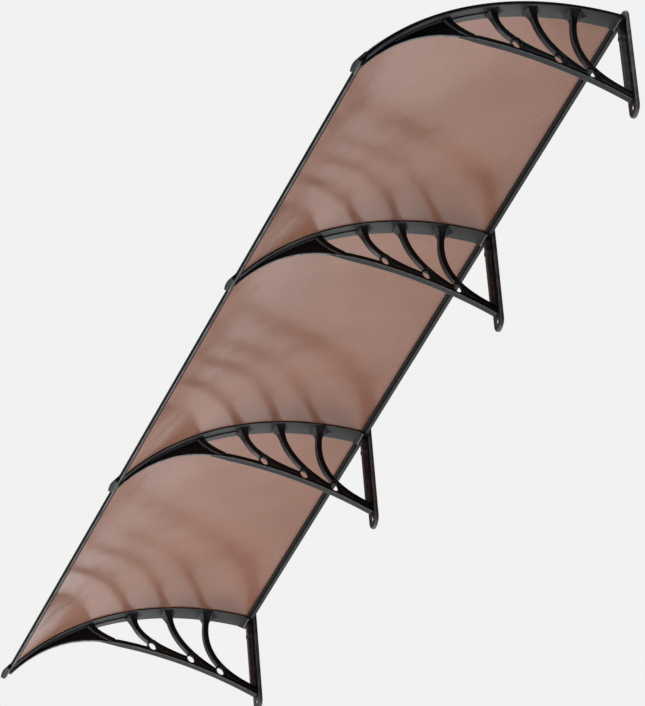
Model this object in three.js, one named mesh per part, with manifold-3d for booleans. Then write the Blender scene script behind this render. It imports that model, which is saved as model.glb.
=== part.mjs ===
// Three-bay polycarbonate window awning.
// Four moulded brackets carry three curved sheets. Aluminium rails edge the sheets at the front
// and along the wall, and a screwed cover strip presses the sheets onto each bracket.
//
// Millimetres, +Z up. X runs along the wall, the wall is the plane Y = 0 and the awning reaches
// out towards -Y. The origin is the middle of the centre wall rail's upright leg, on the wall.
// Outlines are lists of [y, z] points, seen from the end of the awning.

import * as THREE from 'three';
import { mergeVertices } from 'three/addons/utils/BufferGeometryUtils.js';
import Module from 'manifold-3d';

const wasm = await Module();
wasm.setup();

// Layout along the wall
const BAYS = 3;
const BRACKET_SPACING = 1000;

// Curve of the sheets
const SHEET_RADIUS = 885; // of a sheet's underside
const SHEET_THICKNESS = 4;
const SHEET_DROP = 27; // from the origin down to a sheet's underside at its wall edge
const SHEET_WALL_GAP = 15; // from the wall to a sheet's wall edge
const SHEET_FRONT_REACH = 795; // from the wall to a sheet's front edge
const CROWN_REACH = 120; // from the wall to the highest line of the curve

// Fits and facets
const FIT = 0.3; // clearance between pieces that touch
const SINK = 1; // how far joined forms of one moulding run into each other
const ARC_STEP = THREE.MathUtils.degToRad(2.5);
const CURVE_STEPS = 8;
const ROUND_STEPS = 16;

// Bracket: curved flange, the spine between two sheets, and the ribs under the flange
const FLANGE_WIDTH = 56;
const FLANGE_THICKNESS = 4;
const SPINE_WIDTH = 12;
const SPINE_SIDE_GAP = 1;
const BEAD_WIDTH = 20;
const BEAD_DEPTH = 4;
const BEAD_START = 19; // in front of the front strut's top
const BEAD_END = 105; // behind the sheet's front edge
const RIB_WIDTH = 4;
const RIB_DEPTH = 4;

// Bracket: front web and nose
const WEB_THICKNESS = 8;
const NOSE_WIDTH = 10;
const NOSE_DEPTH = 6; // below the flange
const NOSE_OVERHANG = 5; // past the sheet's front edge
const NOSE_RUN = 28; // length of the nose behind that edge
const WEB_CURVE = 2.1; // power by which the web deepens from the nose to the lower bar

// Bracket: lower bar, an arc whose crest lies well in front of the wall
const BAR_RADIUS = 1200;
const BAR_CREST_REACH = 530;
const BAR_FOOT_DROP = 296; // from the origin down to the bar's underside at the plate
const BAR_THICKNESS = 14;
const BAR_START_REACH = 500; // where the web's lower edge becomes the bar
const BAR_TAPER = 70; // length over which the bar widens out of the web
const LATTICE_WIDTH = 20;
const POCKET_WEB = 10; // wall between the bar and the struts' tails
const POCKET_START = 0.6; // share of a strut's curve where that wall starts

// Bracket: bosses on the lower bar, and struts that start on the flange and end along the bar.
// A strut's curve starts at `top` in front of the wall, bends by a point set off from its boss,
// and ends beside the next boss or on the plate.
const BOSS_REACH = [334, 213, 121];
const BOSS_RISE = 25; // above the bar's underside
const BOSS_RADII = [16, 19];
const BOSS_SEAT_RADII = [12.5, 16]; // recess on each side of the boss
const BOSS_WEB = 6; // wall left between the two recesses
const HOLE_RADII = [9, 13];
const STRUT_THICKNESS = 12;
const TAIL_OFFSET = [-15, 3];
const STRUTS = [
  { top: 383, bend: [-64, 23], backFlare: 0 },
  { top: 269, bend: [-59, 52], backFlare: 0 },
  { top: 142, bend: [-76, 26], backFlare: 1 },
];
const LAST_TAIL_DROP = 267; // from the origin down to the last strut's end on the plate
const FRONT_STRUT_TOP = BAR_START_REACH + 26;
const FRONT_STRUT_BEND = [-63, 22]; // from the front strut's end
const FRONT_STRUT_END = BAR_START_REACH - 45;

// Flared head of a strut: distance below the flange's top, and growth to the front, to the back and
// to each side along X
const HEAD_STATIONS = [
  { below: -10, front: 40, back: 20, spread: 18 },
  { below: 4, front: 24, back: 12, spread: 15 },
  { below: 14, front: 14, back: 7, spread: 9 },
  { below: 28, front: 5, back: 2.5, spread: 3 },
  { below: 48, front: 0, back: 0, spread: 0 },
];
const HEAD_SKIN = 0.2; // growth that the whole head has all round
const FRONT_FLARE = 0.3; // share of that flare on the front strut

// Bracket: wall plate
const PLATE_WIDTH = 56;
const PLATE_THICKNESS = 10;
const PLATE_TOP = 12; // above the origin
const PLATE_LENGTH = 357;
const PLATE_BEVEL = 2;
const PLATE_RIB_WIDTH = 14;
const PLATE_RIB_DEPTH = 15;
const WALL_HOLE_RADIUS = 6;
const BACK_RIM = 6; // rim round the recess behind the lower hole
const BACK_SKIN = 2.5; // wall left in front of that recess
const BACK_LENGTH = 40; // the recess runs this far up from the hole
const UPPER_HOLE_DROP = 80;
const HOLE_BOSS_RADIUS = 11;
const HEAD_BLOCK_REACH = 40;
const HEAD_BLOCK_LIP = 18;
const HEAD_BLOCK_DROP = 5;

// Cover strip with a bowed top, and its end cap over the ends of the front rails
const COVER_WIDTH = 56;
const COVER_THICKNESS = 9; // at its middle
const COVER_EDGE = 2.5;
const CAP_HEIGHT = 8.5; // above the rails, at its middle
const CAP_EDGE = 2;
const CAP_LENGTH = 44;
const CAP_OVERHANG = 19; // past the sheet's front edge
const CAP_DROP = 4; // how far its front hangs below the sheet's underside
const CAP_CORNER = 9; // cut off each lower corner of that front
const CAP_STEP = 1; // how far that front is set back from the bow above it

// Rails
const RAIL_WALL = 3;
const FRONT_LIP = 18;
const FRONT_NOSE = 5;
const WALL_LIP = 16;
const WALL_UPPER_LIP = 13;
const WALL_STEP = 6; // the outer part of the lower lip starts this far in front of the sheet's edge
const WALL_STEP_DEPTH = 3;
const LEG_HEIGHT = 24;
const LEG_THICKNESS = 2.5;

// Screws
const SCREWS_PER_STRIP = 5;
const SCREW_RADIUS = 2;
const SCREW_DEPTH = 6; // below the cover strip
const SCREW_HEAD_RADIUS = 5;
const SCREW_HEAD_HEIGHT = 3;
const SCREW_MARGIN = THREE.MathUtils.degToRad(5);
const SCREW_SIDES = 8;

// Finishes
const blackPlastic = new THREE.MeshStandardMaterial({ color: 0x1b1b1c, roughness: 0.4, metalness: 0 });
const bronzeSheet = new THREE.MeshStandardMaterial({ color: 0x9c7668, roughness: 0.3, metalness: 0 });
const darkAluminium = new THREE.MeshStandardMaterial({ color: 0x2e2f31, roughness: 0.35, metalness: 0.8 });
const screwSteel = new THREE.MeshStandardMaterial({ color: 0x8b8d90, roughness: 0.3, metalness: 1 });

// The curve of the sheets: angles are measured at its centre from the crown, towards the front
const angleAtReach = (reach, radius) => Math.asin((reach - CROWN_REACH) / radius);
const WALL_ANGLE = angleAtReach(SHEET_WALL_GAP, SHEET_RADIUS);
const FRONT_ANGLE = angleAtReach(SHEET_FRONT_REACH, SHEET_RADIUS);
const CENTRE_Z = -SHEET_DROP - SHEET_RADIUS * Math.cos(WALL_ANGLE);
const FLANGE_TOP = SHEET_RADIUS - FIT;
const FLANGE_BOTTOM = FLANGE_TOP - FLANGE_THICKNESS;
const SHEET_TOP = SHEET_RADIUS + SHEET_THICKNESS;
const COVER_BOTTOM = SHEET_TOP + FIT;
const COVER_TOP = COVER_BOTTOM + COVER_THICKNESS;
const SPINE_TOP = COVER_BOTTOM - FIT;

function curvePoint(radius, angle) {
  return [-CROWN_REACH - radius * Math.sin(angle), CENTRE_Z + radius * Math.cos(angle)];
}

function arcAngles(from, to) {
  const angles = [from];
  for (let i = Math.floor(from / ARC_STEP) + 1; i * ARC_STEP < to - 1e-6; i += 1) {
    if (i * ARC_STEP > from + 1e-6) {
      angles.push(i * ARC_STEP);
    }
  }
  angles.push(to);
  return angles;
}

function arcBand(inner, outer, from, to) {
  const angles = arcAngles(from, to);
  const under = angles.map((angle) => curvePoint(inner, angle));
  const over = angles.map((angle) => curvePoint(outer, angle));
  return under.concat(over.reverse());
}

// Frame at an edge of a sheet: `along` runs out past the edge and `up` away from the underside.
// It is turned to the middle of the lip that grips the sheet there.
function edgeFrame(angle, outward, lip) {
  const turn = angle - (outward * lip) / (2 * SHEET_RADIUS);
  const along = [-Math.cos(turn) * outward, -Math.sin(turn) * outward];
  const up = [-Math.sin(turn), Math.cos(turn)];
  const [y, z] = curvePoint(SHEET_RADIUS, angle);
  return (a, n) => [y + a * along[0] + n * up[0], z + a * along[1] + n * up[1]];
}

const frontEdge = edgeFrame(FRONT_ANGLE, 1, FRONT_LIP);
const wallEdge = edgeFrame(WALL_ANGLE, -1, WALL_LIP);

// Lower bar: the crest is the highest point of its underside
const barSag = (reach) => {
  const run = BAR_CREST_REACH - reach;
  return BAR_RADIUS - Math.sqrt(BAR_RADIUS ** 2 - run ** 2);
};
const barUnderside = (reach) => barSag(PLATE_THICKNESS) - barSag(reach) - BAR_FOOT_DROP;
const barPoint = (reach, rise = 0) => [-reach, barUnderside(reach) + rise];

const BOSSES = BOSS_REACH.map((reach) => barPoint(reach, BOSS_RISE));

const flangeUnderside = (reach) => curvePoint(FLANGE_BOTTOM, angleAtReach(reach, FLANGE_BOTTOM))[1];

function shift(point, offset) {
  return [point[0] + offset[0], point[1] + offset[1]];
}

// Solids
function shapeFrom(points) {
  return new THREE.Shape(points.map(([u, v]) => new THREE.Vector2(u, v)));
}

// Prism of a [y, z] outline, centred on the middle of its width along X
function prism(outline, width) {
  const geometry = new THREE.ExtrudeGeometry(shapeFrom(outline), { depth: width, bevelEnabled: false });
  const place = new THREE.Matrix4();
  place.set(0, 0, 1, -width / 2, 1, 0, 0, 0, 0, 1, 0, 0, 0, 0, 0, 1);
  return geometry.applyMatrix4(place);
}

function box(width, depth, height, x, y, z) {
  return new THREE.BoxGeometry(width, depth, height).translate(x, y, z);
}

function toSolid(geometry) {
  const bare = geometry.clone();
  bare.deleteAttribute('normal');
  bare.deleteAttribute('uv');
  const merged = mergeVertices(bare, 1e-4);
  const mesh = new wasm.Mesh({
    numProp: 3,
    vertProperties: new Float32Array(merged.attributes.position.array),
    triVerts: new Uint32Array(merged.index.array),
  });
  return new wasm.Manifold(mesh);
}

function toGeometry(solid) {
  const mesh = solid.getMesh();
  const geometry = new THREE.BufferGeometry();
  geometry.setAttribute('position', new THREE.BufferAttribute(new Float32Array(mesh.vertProperties), 3));
  geometry.setIndex(new THREE.BufferAttribute(new Uint32Array(mesh.triVerts), 1));
  const flat = geometry.toNonIndexed();
  flat.computeVertexNormals();
  return flat;
}

const join = (geometries) => geometries.map(toSolid).reduce((sum, solid) => sum.add(solid));
const cut = (solid, geometries) => geometries.reduce((rest, tool) => rest.subtract(toSolid(tool)), solid);

function bezier(points, t) {
  if (points.length === 1) {
    return points[0];
  }
  const next = points.slice(1).map((point, i) => [
    points[i][0] + (point[0] - points[i][0]) * t,
    points[i][1] + (point[1] - points[i][1]) * t,
  ]);
  return bezier(next, t);
}

function curvePoints(controls, from = 0, to = 1) {
  const points = [];
  for (let i = 0; i <= CURVE_STEPS; i += 1) {
    points.push(bezier(controls, from + ((to - from) * i) / CURVE_STEPS));
  }
  return points;
}

// Unit vector across a curve, towards the front and down
function across(controls, t) {
  const step = 1e-3;
  const [y0, z0] = bezier(controls, t - step);
  const [y1, z1] = bezier(controls, t + step);
  const length = Math.hypot(y1 - y0, z1 - z0);
  return [(z1 - z0) / length, -(y1 - y0) / length];
}

// Loft of rectangles: each station is a centre, a direction across, and half sizes
function rectangleLoft(stations) {
  const positions = stations.flatMap(({ centre, side, thick, half }) =>
    [[-1, -1], [1, -1], [1, 1], [-1, 1]].flatMap(([sx, sn]) => [
      sx * half,
      centre[0] + sn * thick * side[0],
      centre[1] + sn * thick * side[1],
    ]),
  );
  const faces = [0, 2, 1, 0, 3, 2];
  const last = 4 * (stations.length - 1);
  faces.push(last, last + 1, last + 2, last, last + 2, last + 3);
  for (let s = 0; s < last; s += 4) {
    for (let k = 0; k < 4; k += 1) {
      const next = (k + 1) % 4;
      faces.push(s + k, s + next, s + 4 + next, s + k, s + 4 + next, s + 4 + k);
    }
  }
  const geometry = new THREE.BufferGeometry();
  geometry.setAttribute('position', new THREE.Float32BufferAttribute(positions, 3));
  geometry.setIndex(faces);
  return geometry;
}

// Bracket forms
function flangeSolids() {
  const plateFace = angleAtReach(PLATE_THICKNESS - SINK, FLANGE_TOP);
  const lipEnd = FRONT_ANGLE - (FRONT_LIP + FIT) / SHEET_RADIUS;
  const strutTops = STRUTS.map(({ top }) => top);
  const underflange = (depth, reachA, reachB) => arcBand(
    FLANGE_BOTTOM - depth,
    FLANGE_BOTTOM + SINK,
    angleAtReach(reachA, FLANGE_BOTTOM),
    angleAtReach(reachB, FLANGE_BOTTOM),
  );
  return [
    prism(arcBand(FLANGE_BOTTOM, FLANGE_TOP, plateFace, lipEnd), FLANGE_WIDTH),
    prism(arcBand(FLANGE_BOTTOM, SPINE_TOP, plateFace, lipEnd), SPINE_WIDTH),
    prism(underflange(BEAD_DEPTH, FRONT_STRUT_TOP + BEAD_START, SHEET_FRONT_REACH - BEAD_END), BEAD_WIDTH),
    prism(underflange(RIB_DEPTH, Math.max(...strutTops), FRONT_STRUT_TOP), RIB_WIDTH),
  ];
}

// The nose runs out between the ends of two front rails and carries the end cap
function noseOutline() {
  const top = SHEET_THICKNESS + RAIL_WALL + FIT;
  const bottom = -FIT - FLANGE_THICKNESS - NOSE_DEPTH;
  const start = -NOSE_RUN;
  return [
    frontEdge(start, bottom),
    frontEdge(0, bottom),
    frontEdge(NOSE_OVERHANG, 0),
    frontEdge(NOSE_OVERHANG, top),
    frontEdge(-FRONT_LIP, top),
    frontEdge(-FRONT_LIP, SHEET_THICKNESS),
    frontEdge(start, 0),
  ];
}

// The web's lower edge leaves the flange at the nose and meets the lower bar
function webLowerEdge() {
  const nose = -frontEdge(0, -FIT - FLANGE_THICKNESS - NOSE_DEPTH)[0];
  const noseDepth = NOSE_DEPTH / Math.cos(FRONT_ANGLE);
  const barDepth = flangeUnderside(BAR_START_REACH) - barUnderside(BAR_START_REACH);
  const points = [];
  for (let i = 0; i <= CURVE_STEPS; i += 1) {
    const share = i / CURVE_STEPS;
    const reach = nose + (BAR_START_REACH - nose) * share;
    const depth = noseDepth + (barDepth - noseDepth) * share ** WEB_CURVE;
    points.push([-reach, flangeUnderside(reach) - depth]);
  }
  return points;
}

function webOutline() {
  const rightEdge = curvePoints(frontStrutCurve()).reverse();
  const strutTop = angleAtReach(FRONT_STRUT_TOP, FLANGE_BOTTOM);
  const lipStart = FRONT_ANGLE - FRONT_LIP / SHEET_RADIUS;
  const upper = arcAngles(strutTop, lipStart).map((angle) => curvePoint(FLANGE_BOTTOM + SINK, angle));
  const foot = barPoint(FRONT_STRUT_END, BAR_THICKNESS / 2);
  return webLowerEdge().concat([foot], rightEdge, upper);
}

function barOutline() {
  const reaches = [];
  for (let i = 0; i <= CURVE_STEPS; i += 1) {
    reaches.push(BAR_START_REACH + ((PLATE_THICKNESS - SINK - BAR_START_REACH) * i) / CURVE_STEPS);
  }
  const under = reaches.map((reach) => barPoint(reach));
  const over = reaches.map((reach) => barPoint(reach, BAR_THICKNESS));
  return under.concat(over.reverse());
}

// The bar's plan widens from the web's thickness to the lattice's width
function barPlan() {
  const web = WEB_THICKNESS / 2;
  const full = LATTICE_WIDTH / 2;
  const start = -BAR_START_REACH;
  const wide = start + BAR_TAPER;
  const plan = [[-web, start], [web, start], [full, wide], [full, 0], [-full, 0], [-full, wide]];
  const depth = 2 * BAR_FOOT_DROP;
  const geometry = new THREE.ExtrudeGeometry(shapeFrom(plan), { depth, bevelEnabled: false });
  return geometry.translate(0, 0, -depth);
}

function frontStrutCurve() {
  const end = barPoint(FRONT_STRUT_END, BAR_THICKNESS);
  const top = curvePoint(FLANGE_TOP, angleAtReach(FRONT_STRUT_TOP, FLANGE_TOP));
  return [top, shift(end, FRONT_STRUT_BEND), end];
}

function strutCurve(index) {
  const { top, bend } = STRUTS[index];
  const start = curvePoint(FLANGE_TOP, angleAtReach(top, FLANGE_TOP));
  const isLast = index === STRUTS.length - 1;
  const end = isLast ? [-PLATE_THICKNESS + SINK, -LAST_TAIL_DROP] : shift(BOSSES[index + 1], TAIL_OFFSET);
  return [start, shift(BOSSES[index], bend), end];
}

function strutOutline(controls) {
  const back = curvePoints(controls);
  const front = back.map((point, i) => {
    const side = across(controls, i / CURVE_STEPS);
    return shift(point, [side[0] * STRUT_THICKNESS, side[1] * STRUT_THICKNESS]);
  });
  return back.concat(front.reverse());
}

function strutHead(controls, flare, backFlare) {
  const [start, bend] = controls;
  const startSpeed = 2 * Math.hypot(bend[0] - start[0], bend[1] - start[1]);
  const stations = HEAD_STATIONS.map(({ below, front, back, spread }) => {
    const at = below / startSpeed;
    const side = across(controls, at);
    const ahead = STRUT_THICKNESS + flare * front + HEAD_SKIN;
    const behind = flare * backFlare * back + HEAD_SKIN;
    const middle = (ahead - behind) / 2;
    return {
      centre: shift(bezier(controls, at), [side[0] * middle, side[1] * middle]),
      side,
      thick: (ahead + behind) / 2,
      half: LATTICE_WIDTH / 2 + flare * spread + HEAD_SKIN,
    };
  });
  return rectangleLoft(stations);
}

// Wall between a strut's tail and the bar's underside
function pocketOutline(index) {
  const controls = strutCurve(index);
  const tail = curvePoints(controls, POCKET_START);
  const under = tail.map(([y]) => barPoint(-y, BAR_THICKNESS / 2)).reverse();
  return tail.concat(under);
}

function ellipse([y, z], [ry, rz]) {
  const points = [];
  for (let i = 0; i < ROUND_STEPS; i += 1) {
    const turn = (2 * Math.PI * i) / ROUND_STEPS;
    points.push([y + ry * Math.cos(turn), z + rz * Math.sin(turn)]);
  }
  return points;
}

// Recesses on both sides of a boss
function bossSeats(boss) {
  const offset = (BOSS_WEB + LATTICE_WIDTH) / 2;
  const outline = ellipse(boss, BOSS_SEAT_RADII);
  return [-1, 1].map((side) => prism(outline, LATTICE_WIDTH).translate(side * offset, 0, 0));
}

// Everything under the flange, which trims the strut heads
function underFlangeOutline() {
  const angles = arcAngles(angleAtReach(0, FLANGE_TOP), FRONT_ANGLE);
  const roof = angles.map((angle) => curvePoint(FLANGE_TOP - SINK, angle));
  return roof.concat([[-SHEET_FRONT_REACH, -2 * BAR_FOOT_DROP], [0, -2 * BAR_FOOT_DROP]]);
}

function plateSolid() {
  const radius = PLATE_WIDTH / 2;
  const outline = new THREE.Shape();
  outline.absarc(0, PLATE_TOP - radius, radius, 0, Math.PI, false);
  outline.absarc(0, PLATE_TOP - PLATE_LENGTH + radius, radius, Math.PI, 2 * Math.PI, false);
  const geometry = new THREE.ExtrudeGeometry(outline, {
    depth: PLATE_THICKNESS - 2 * PLATE_BEVEL,
    bevelThickness: PLATE_BEVEL,
    bevelSize: PLATE_BEVEL,
    bevelOffset: -PLATE_BEVEL,
    bevelSegments: 1,
    curveSegments: ROUND_STEPS / 2,
  });
  return geometry.translate(0, 0, PLATE_BEVEL).rotateX(Math.PI / 2);
}

// Recess in the plate's back behind the lower hole, open to the wall
function backRecess(holeZ) {
  const radius = PLATE_WIDTH / 2 - BACK_RIM;
  const outline = new THREE.Shape();
  outline.absarc(0, holeZ + BACK_LENGTH, radius, 0, Math.PI, false);
  outline.absarc(0, holeZ, radius, Math.PI, 2 * Math.PI, false);
  const geometry = new THREE.ExtrudeGeometry(outline, {
    depth: PLATE_THICKNESS,
    bevelEnabled: false,
    curveSegments: ROUND_STEPS / 2,
  });
  return geometry.rotateX(Math.PI / 2).translate(0, BACK_SKIN, 0);
}

// Cylinder along Y from the wall outwards
function wallCylinder(radius, length, z) {
  const geometry = new THREE.CylinderGeometry(radius, radius, length, ROUND_STEPS);
  return geometry.translate(0, -length / 2, z);
}

function headBlockOutline() {
  const roof = (reach) => curvePoint(FLANGE_BOTTOM + SINK, angleAtReach(reach, FLANGE_BOTTOM + SINK));
  const lip = flangeUnderside(HEAD_BLOCK_LIP) - HEAD_BLOCK_DROP;
  const back = PLATE_THICKNESS - SINK;
  return [roof(HEAD_BLOCK_REACH), [-HEAD_BLOCK_LIP, lip], [-back, lip], roof(back)];
}

function plateRib() {
  const roof = flangeUnderside(PLATE_THICKNESS) + SINK;
  const height = roof - barUnderside(PLATE_THICKNESS + PLATE_RIB_DEPTH) - BAR_THICKNESS / 2;
  const depth = PLATE_RIB_DEPTH + SINK;
  return box(PLATE_RIB_WIDTH, depth, height, 0, SINK - PLATE_THICKNESS - depth / 2, roof - height / 2);
}

const SCREW_ANGLES = Array.from({ length: SCREWS_PER_STRIP }, (_, i) => {
  const from = WALL_ANGLE + SCREW_MARGIN;
  const to = FRONT_ANGLE - SCREW_MARGIN;
  return from + ((to - from) * i) / (SCREWS_PER_STRIP - 1);
});

// Turns a form that stands on +Y so that it stands out from the curve at an angle
function standOnCurve(geometry, radius, angle) {
  const [y, z] = curvePoint(radius, angle);
  return geometry.rotateX(Math.PI / 2 + angle).translate(0, y, z);
}

function screwHole(angle) {
  const length = SCREW_DEPTH + FIT + 2 * COVER_THICKNESS;
  const hole = new THREE.CylinderGeometry(SCREW_RADIUS + FIT, SCREW_RADIUS + FIT, length, SCREW_SIDES);
  return standOnCurve(hole.translate(0, length / 2 - SCREW_DEPTH - FIT, 0), COVER_BOTTOM, angle);
}

function bracketGeometry() {
  const curves = STRUTS.map((_, index) => strutCurve(index));
  const frontCurve = frontStrutCurve();
  const lattice = [
    prism(strutOutline(frontCurve), LATTICE_WIDTH),
    strutHead(frontCurve, FRONT_FLARE, 1),
    prism(webOutline(), WEB_THICKNESS),
  ];
  curves.forEach((controls, index) => {
    lattice.push(prism(strutOutline(controls), LATTICE_WIDTH));
    lattice.push(strutHead(controls, 1, STRUTS[index].backFlare));
    lattice.push(prism(pocketOutline(index), POCKET_WEB));
  });
  BOSSES.forEach((boss) => lattice.push(prism(ellipse(boss, BOSS_RADII), LATTICE_WIDTH)));
  const bar = toSolid(prism(barOutline(), 2 * LATTICE_WIDTH)).intersect(toSolid(barPlan()));
  const trimmed = join(lattice).intersect(toSolid(prism(underFlangeOutline(), 2 * FLANGE_WIDTH)));
  const rest = [
    ...flangeSolids(),
    prism(noseOutline(), NOSE_WIDTH),
    plateSolid(),
    plateRib(),
    prism(headBlockOutline(), PLATE_WIDTH),
    wallCylinder(HOLE_BOSS_RADIUS, PLATE_THICKNESS + PLATE_RIB_DEPTH, -UPPER_HOLE_DROP),
  ];
  const whole = join(rest).add(trimmed).add(bar);
  const lowerHole = PLATE_TOP - PLATE_LENGTH + PLATE_WIDTH / 2;
  const holes = [
    ...BOSSES.map((boss) => prism(ellipse(boss, HOLE_RADII), 2 * LATTICE_WIDTH)),
    ...BOSSES.flatMap(bossSeats),
    backRecess(lowerHole),
    ...[-UPPER_HOLE_DROP, lowerHole].map((z) =>
      wallCylinder(WALL_HOLE_RADIUS, 4 * PLATE_THICKNESS, z).translate(0, PLATE_THICKNESS / 2, 0),
    ),
    ...SCREW_ANGLES.map(screwHole),
  ];
  return toGeometry(cut(whole, holes));
}

// Sheet between two spines
const SHEET_WIDTH = BRACKET_SPACING - SPINE_WIDTH - 2 * SPINE_SIDE_GAP;

function sheetGeometry() {
  return prism(arcBand(SHEET_RADIUS, SHEET_TOP, WALL_ANGLE, FRONT_ANGLE), SHEET_WIDTH);
}

// Front rail: a channel over the sheet's front edge with a half-round nose
function frontRailGeometry() {
  const under = -FIT - RAIL_WALL;
  const over = SHEET_THICKNESS + FIT + RAIL_WALL;
  const middle = (under + over) / 2;
  const radius = (over - under) / 2;
  const outline = [frontEdge(-FRONT_LIP, under)];
  const noseSteps = ROUND_STEPS / 4;
  for (let i = 0; i <= noseSteps; i += 1) {
    const turn = -Math.PI / 2 + (Math.PI * i) / noseSteps;
    outline.push(frontEdge(FIT + FRONT_NOSE * Math.cos(turn), middle + radius * Math.sin(turn)));
  }
  outline.push(frontEdge(-FRONT_LIP, over));
  outline.push(frontEdge(-FRONT_LIP, SHEET_THICKNESS + FIT));
  outline.push(frontEdge(FIT, SHEET_THICKNESS + FIT));
  outline.push(frontEdge(FIT, -FIT));
  outline.push(frontEdge(-FRONT_LIP, -FIT));
  return prism(outline, BRACKET_SPACING - NOSE_WIDTH - 2 * FIT);
}

// Wall rail: a channel over the sheet's wall edge, a shelf to the wall and an upright leg on it
function wallRailGeometry() {
  const under = -FIT - RAIL_WALL;
  const over = SHEET_THICKNESS + FIT + RAIL_WALL;
  const legBottom = -LEG_HEIGHT / 2;
  const riserFront = wallEdge(FIT, 0)[0];
  const riserBack = riserFront + RAIL_WALL;
  const stepBottom = wallEdge(-WALL_STEP, under - WALL_STEP_DEPTH);
  const outline = [
    wallEdge(-WALL_LIP, -FIT),
    wallEdge(-WALL_LIP, under),
    wallEdge(-WALL_STEP, under),
    stepBottom,
    [riserBack, stepBottom[1]],
    [riserBack, legBottom],
    [0, legBottom],
    [0, LEG_HEIGHT / 2],
    [-LEG_THICKNESS, LEG_HEIGHT / 2],
    [-LEG_THICKNESS, legBottom + LEG_THICKNESS],
    [riserFront, legBottom + LEG_THICKNESS],
    wallEdge(FIT, over),
    wallEdge(-WALL_UPPER_LIP, over),
    wallEdge(-WALL_UPPER_LIP, SHEET_THICKNESS + FIT),
    wallEdge(FIT, SHEET_THICKNESS + FIT),
    wallEdge(FIT, -FIT),
  ];
  return prism(outline, BRACKET_SPACING - PLATE_WIDTH - 2 * FIT);
}

// Profile of [x, radius] points carried along the curve of the sheets
function sweepAlongCurve(profile, from, to) {
  const angles = arcAngles(from, to);
  const count = profile.length;
  const positions = angles.flatMap((angle) =>
    profile.flatMap(([x, radius]) => [x, ...curvePoint(radius, angle)]),
  );
  const caps = THREE.ShapeUtils.triangulateShape(profile.map(([x, r]) => new THREE.Vector2(x, r)), []);
  const last = count * (angles.length - 1);
  const faces = [];
  caps.forEach(([a, b, c]) => faces.push(a, c, b, last + a, last + b, last + c));
  for (let s = 0; s < last; s += count) {
    for (let k = 0; k < count; k += 1) {
      const next = (k + 1) % count;
      faces.push(s + k, s + next, s + count + next, s + k, s + count + next, s + count + k);
    }
  }
  const geometry = new THREE.BufferGeometry();
  geometry.setAttribute('position', new THREE.Float32BufferAttribute(positions, 3));
  geometry.setIndex(faces);
  return geometry;
}

// Outline of [x, height] points with a flat base, low upright edges and a bowed top
function bowOutline(base, edge, top) {
  const half = COVER_WIDTH / 2;
  const outline = [[-half, base], [half, base]];
  for (let i = 0; i <= CURVE_STEPS; i += 1) {
    const share = 1 - (2 * i) / CURVE_STEPS;
    outline.push([half * share, edge + (top - edge) * (1 - share ** 2)]);
  }
  return outline;
}

// Slab of an outline of [x, height] points above the sheet's underside, carried from one run past
// the sheet's front edge to another
function edgeSlab(outline, from, to) {
  const geometry = new THREE.ExtrudeGeometry(shapeFrom(outline), { depth: to - from, bevelEnabled: false });
  const [oy, oz] = frontEdge(from, 0);
  const [ay, az] = frontEdge(from + 1, 0);
  const [ny, nz] = frontEdge(from, 1);
  const place = new THREE.Matrix4();
  place.set(1, 0, 0, 0, 0, ny - oy, ay - oy, oy, 0, nz - oz, az - oz, oz, 0, 0, 0, 1);
  return geometry.applyMatrix4(place);
}

// The cap lies on the front rails, and its front hangs down past their noses
function capSlabs() {
  const railTop = SHEET_THICKNESS + FIT + RAIL_WALL + FIT;
  const railFront = FIT + FRONT_NOSE + FIT;
  const edge = railTop + CAP_EDGE;
  const half = COVER_WIDTH / 2 - CAP_STEP;
  const base = half - CAP_CORNER;
  const corner = CAP_CORNER - CAP_DROP;
  const hanging = [
    [-base, -CAP_DROP],
    [base, -CAP_DROP],
    [half, corner],
    [half, edge],
    [-half, edge],
    [-half, corner],
  ];
  return [
    edgeSlab(bowOutline(railTop, edge, railTop + CAP_HEIGHT), CAP_OVERHANG - CAP_LENGTH, CAP_OVERHANG),
    edgeSlab(hanging, railFront, CAP_OVERHANG - CAP_STEP),
  ];
}

function coverStripGeometry() {
  const profile = bowOutline(COVER_BOTTOM, COVER_BOTTOM + COVER_EDGE, COVER_TOP);
  const from = angleAtReach(PLATE_THICKNESS + FIT, COVER_TOP);
  const to = FRONT_ANGLE - (FRONT_LIP + FIT) / SHEET_RADIUS;
  const body = join([sweepAlongCurve(profile, from, to), ...capSlabs()]);
  return toGeometry(cut(body, SCREW_ANGLES.map(screwHole)));
}

// Screw with a domed head, its seat at the base of the head
function screwGeometry() {
  const seat = FIT;
  const length = COVER_THICKNESS + SCREW_DEPTH;
  const profile = [
    [0, -length],
    [SCREW_RADIUS, -length + SCREW_RADIUS / 2],
    [SCREW_RADIUS, seat],
    [SCREW_HEAD_RADIUS, seat],
    [SCREW_HEAD_RADIUS, seat + SCREW_HEAD_HEIGHT / 2],
    [SCREW_HEAD_RADIUS * 0.6, seat + SCREW_HEAD_HEIGHT],
    [0, seat + SCREW_HEAD_HEIGHT],
  ];
  return new THREE.LatheGeometry(profile.map(([r, h]) => new THREE.Vector2(r, h)), SCREW_SIDES);
}

function named(name, geometry, material) {
  const mesh = new THREE.Mesh(geometry, material);
  mesh.name = name;
  return mesh;
}

const awning = new THREE.Group();
awning.name = 'window_awning';

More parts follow.
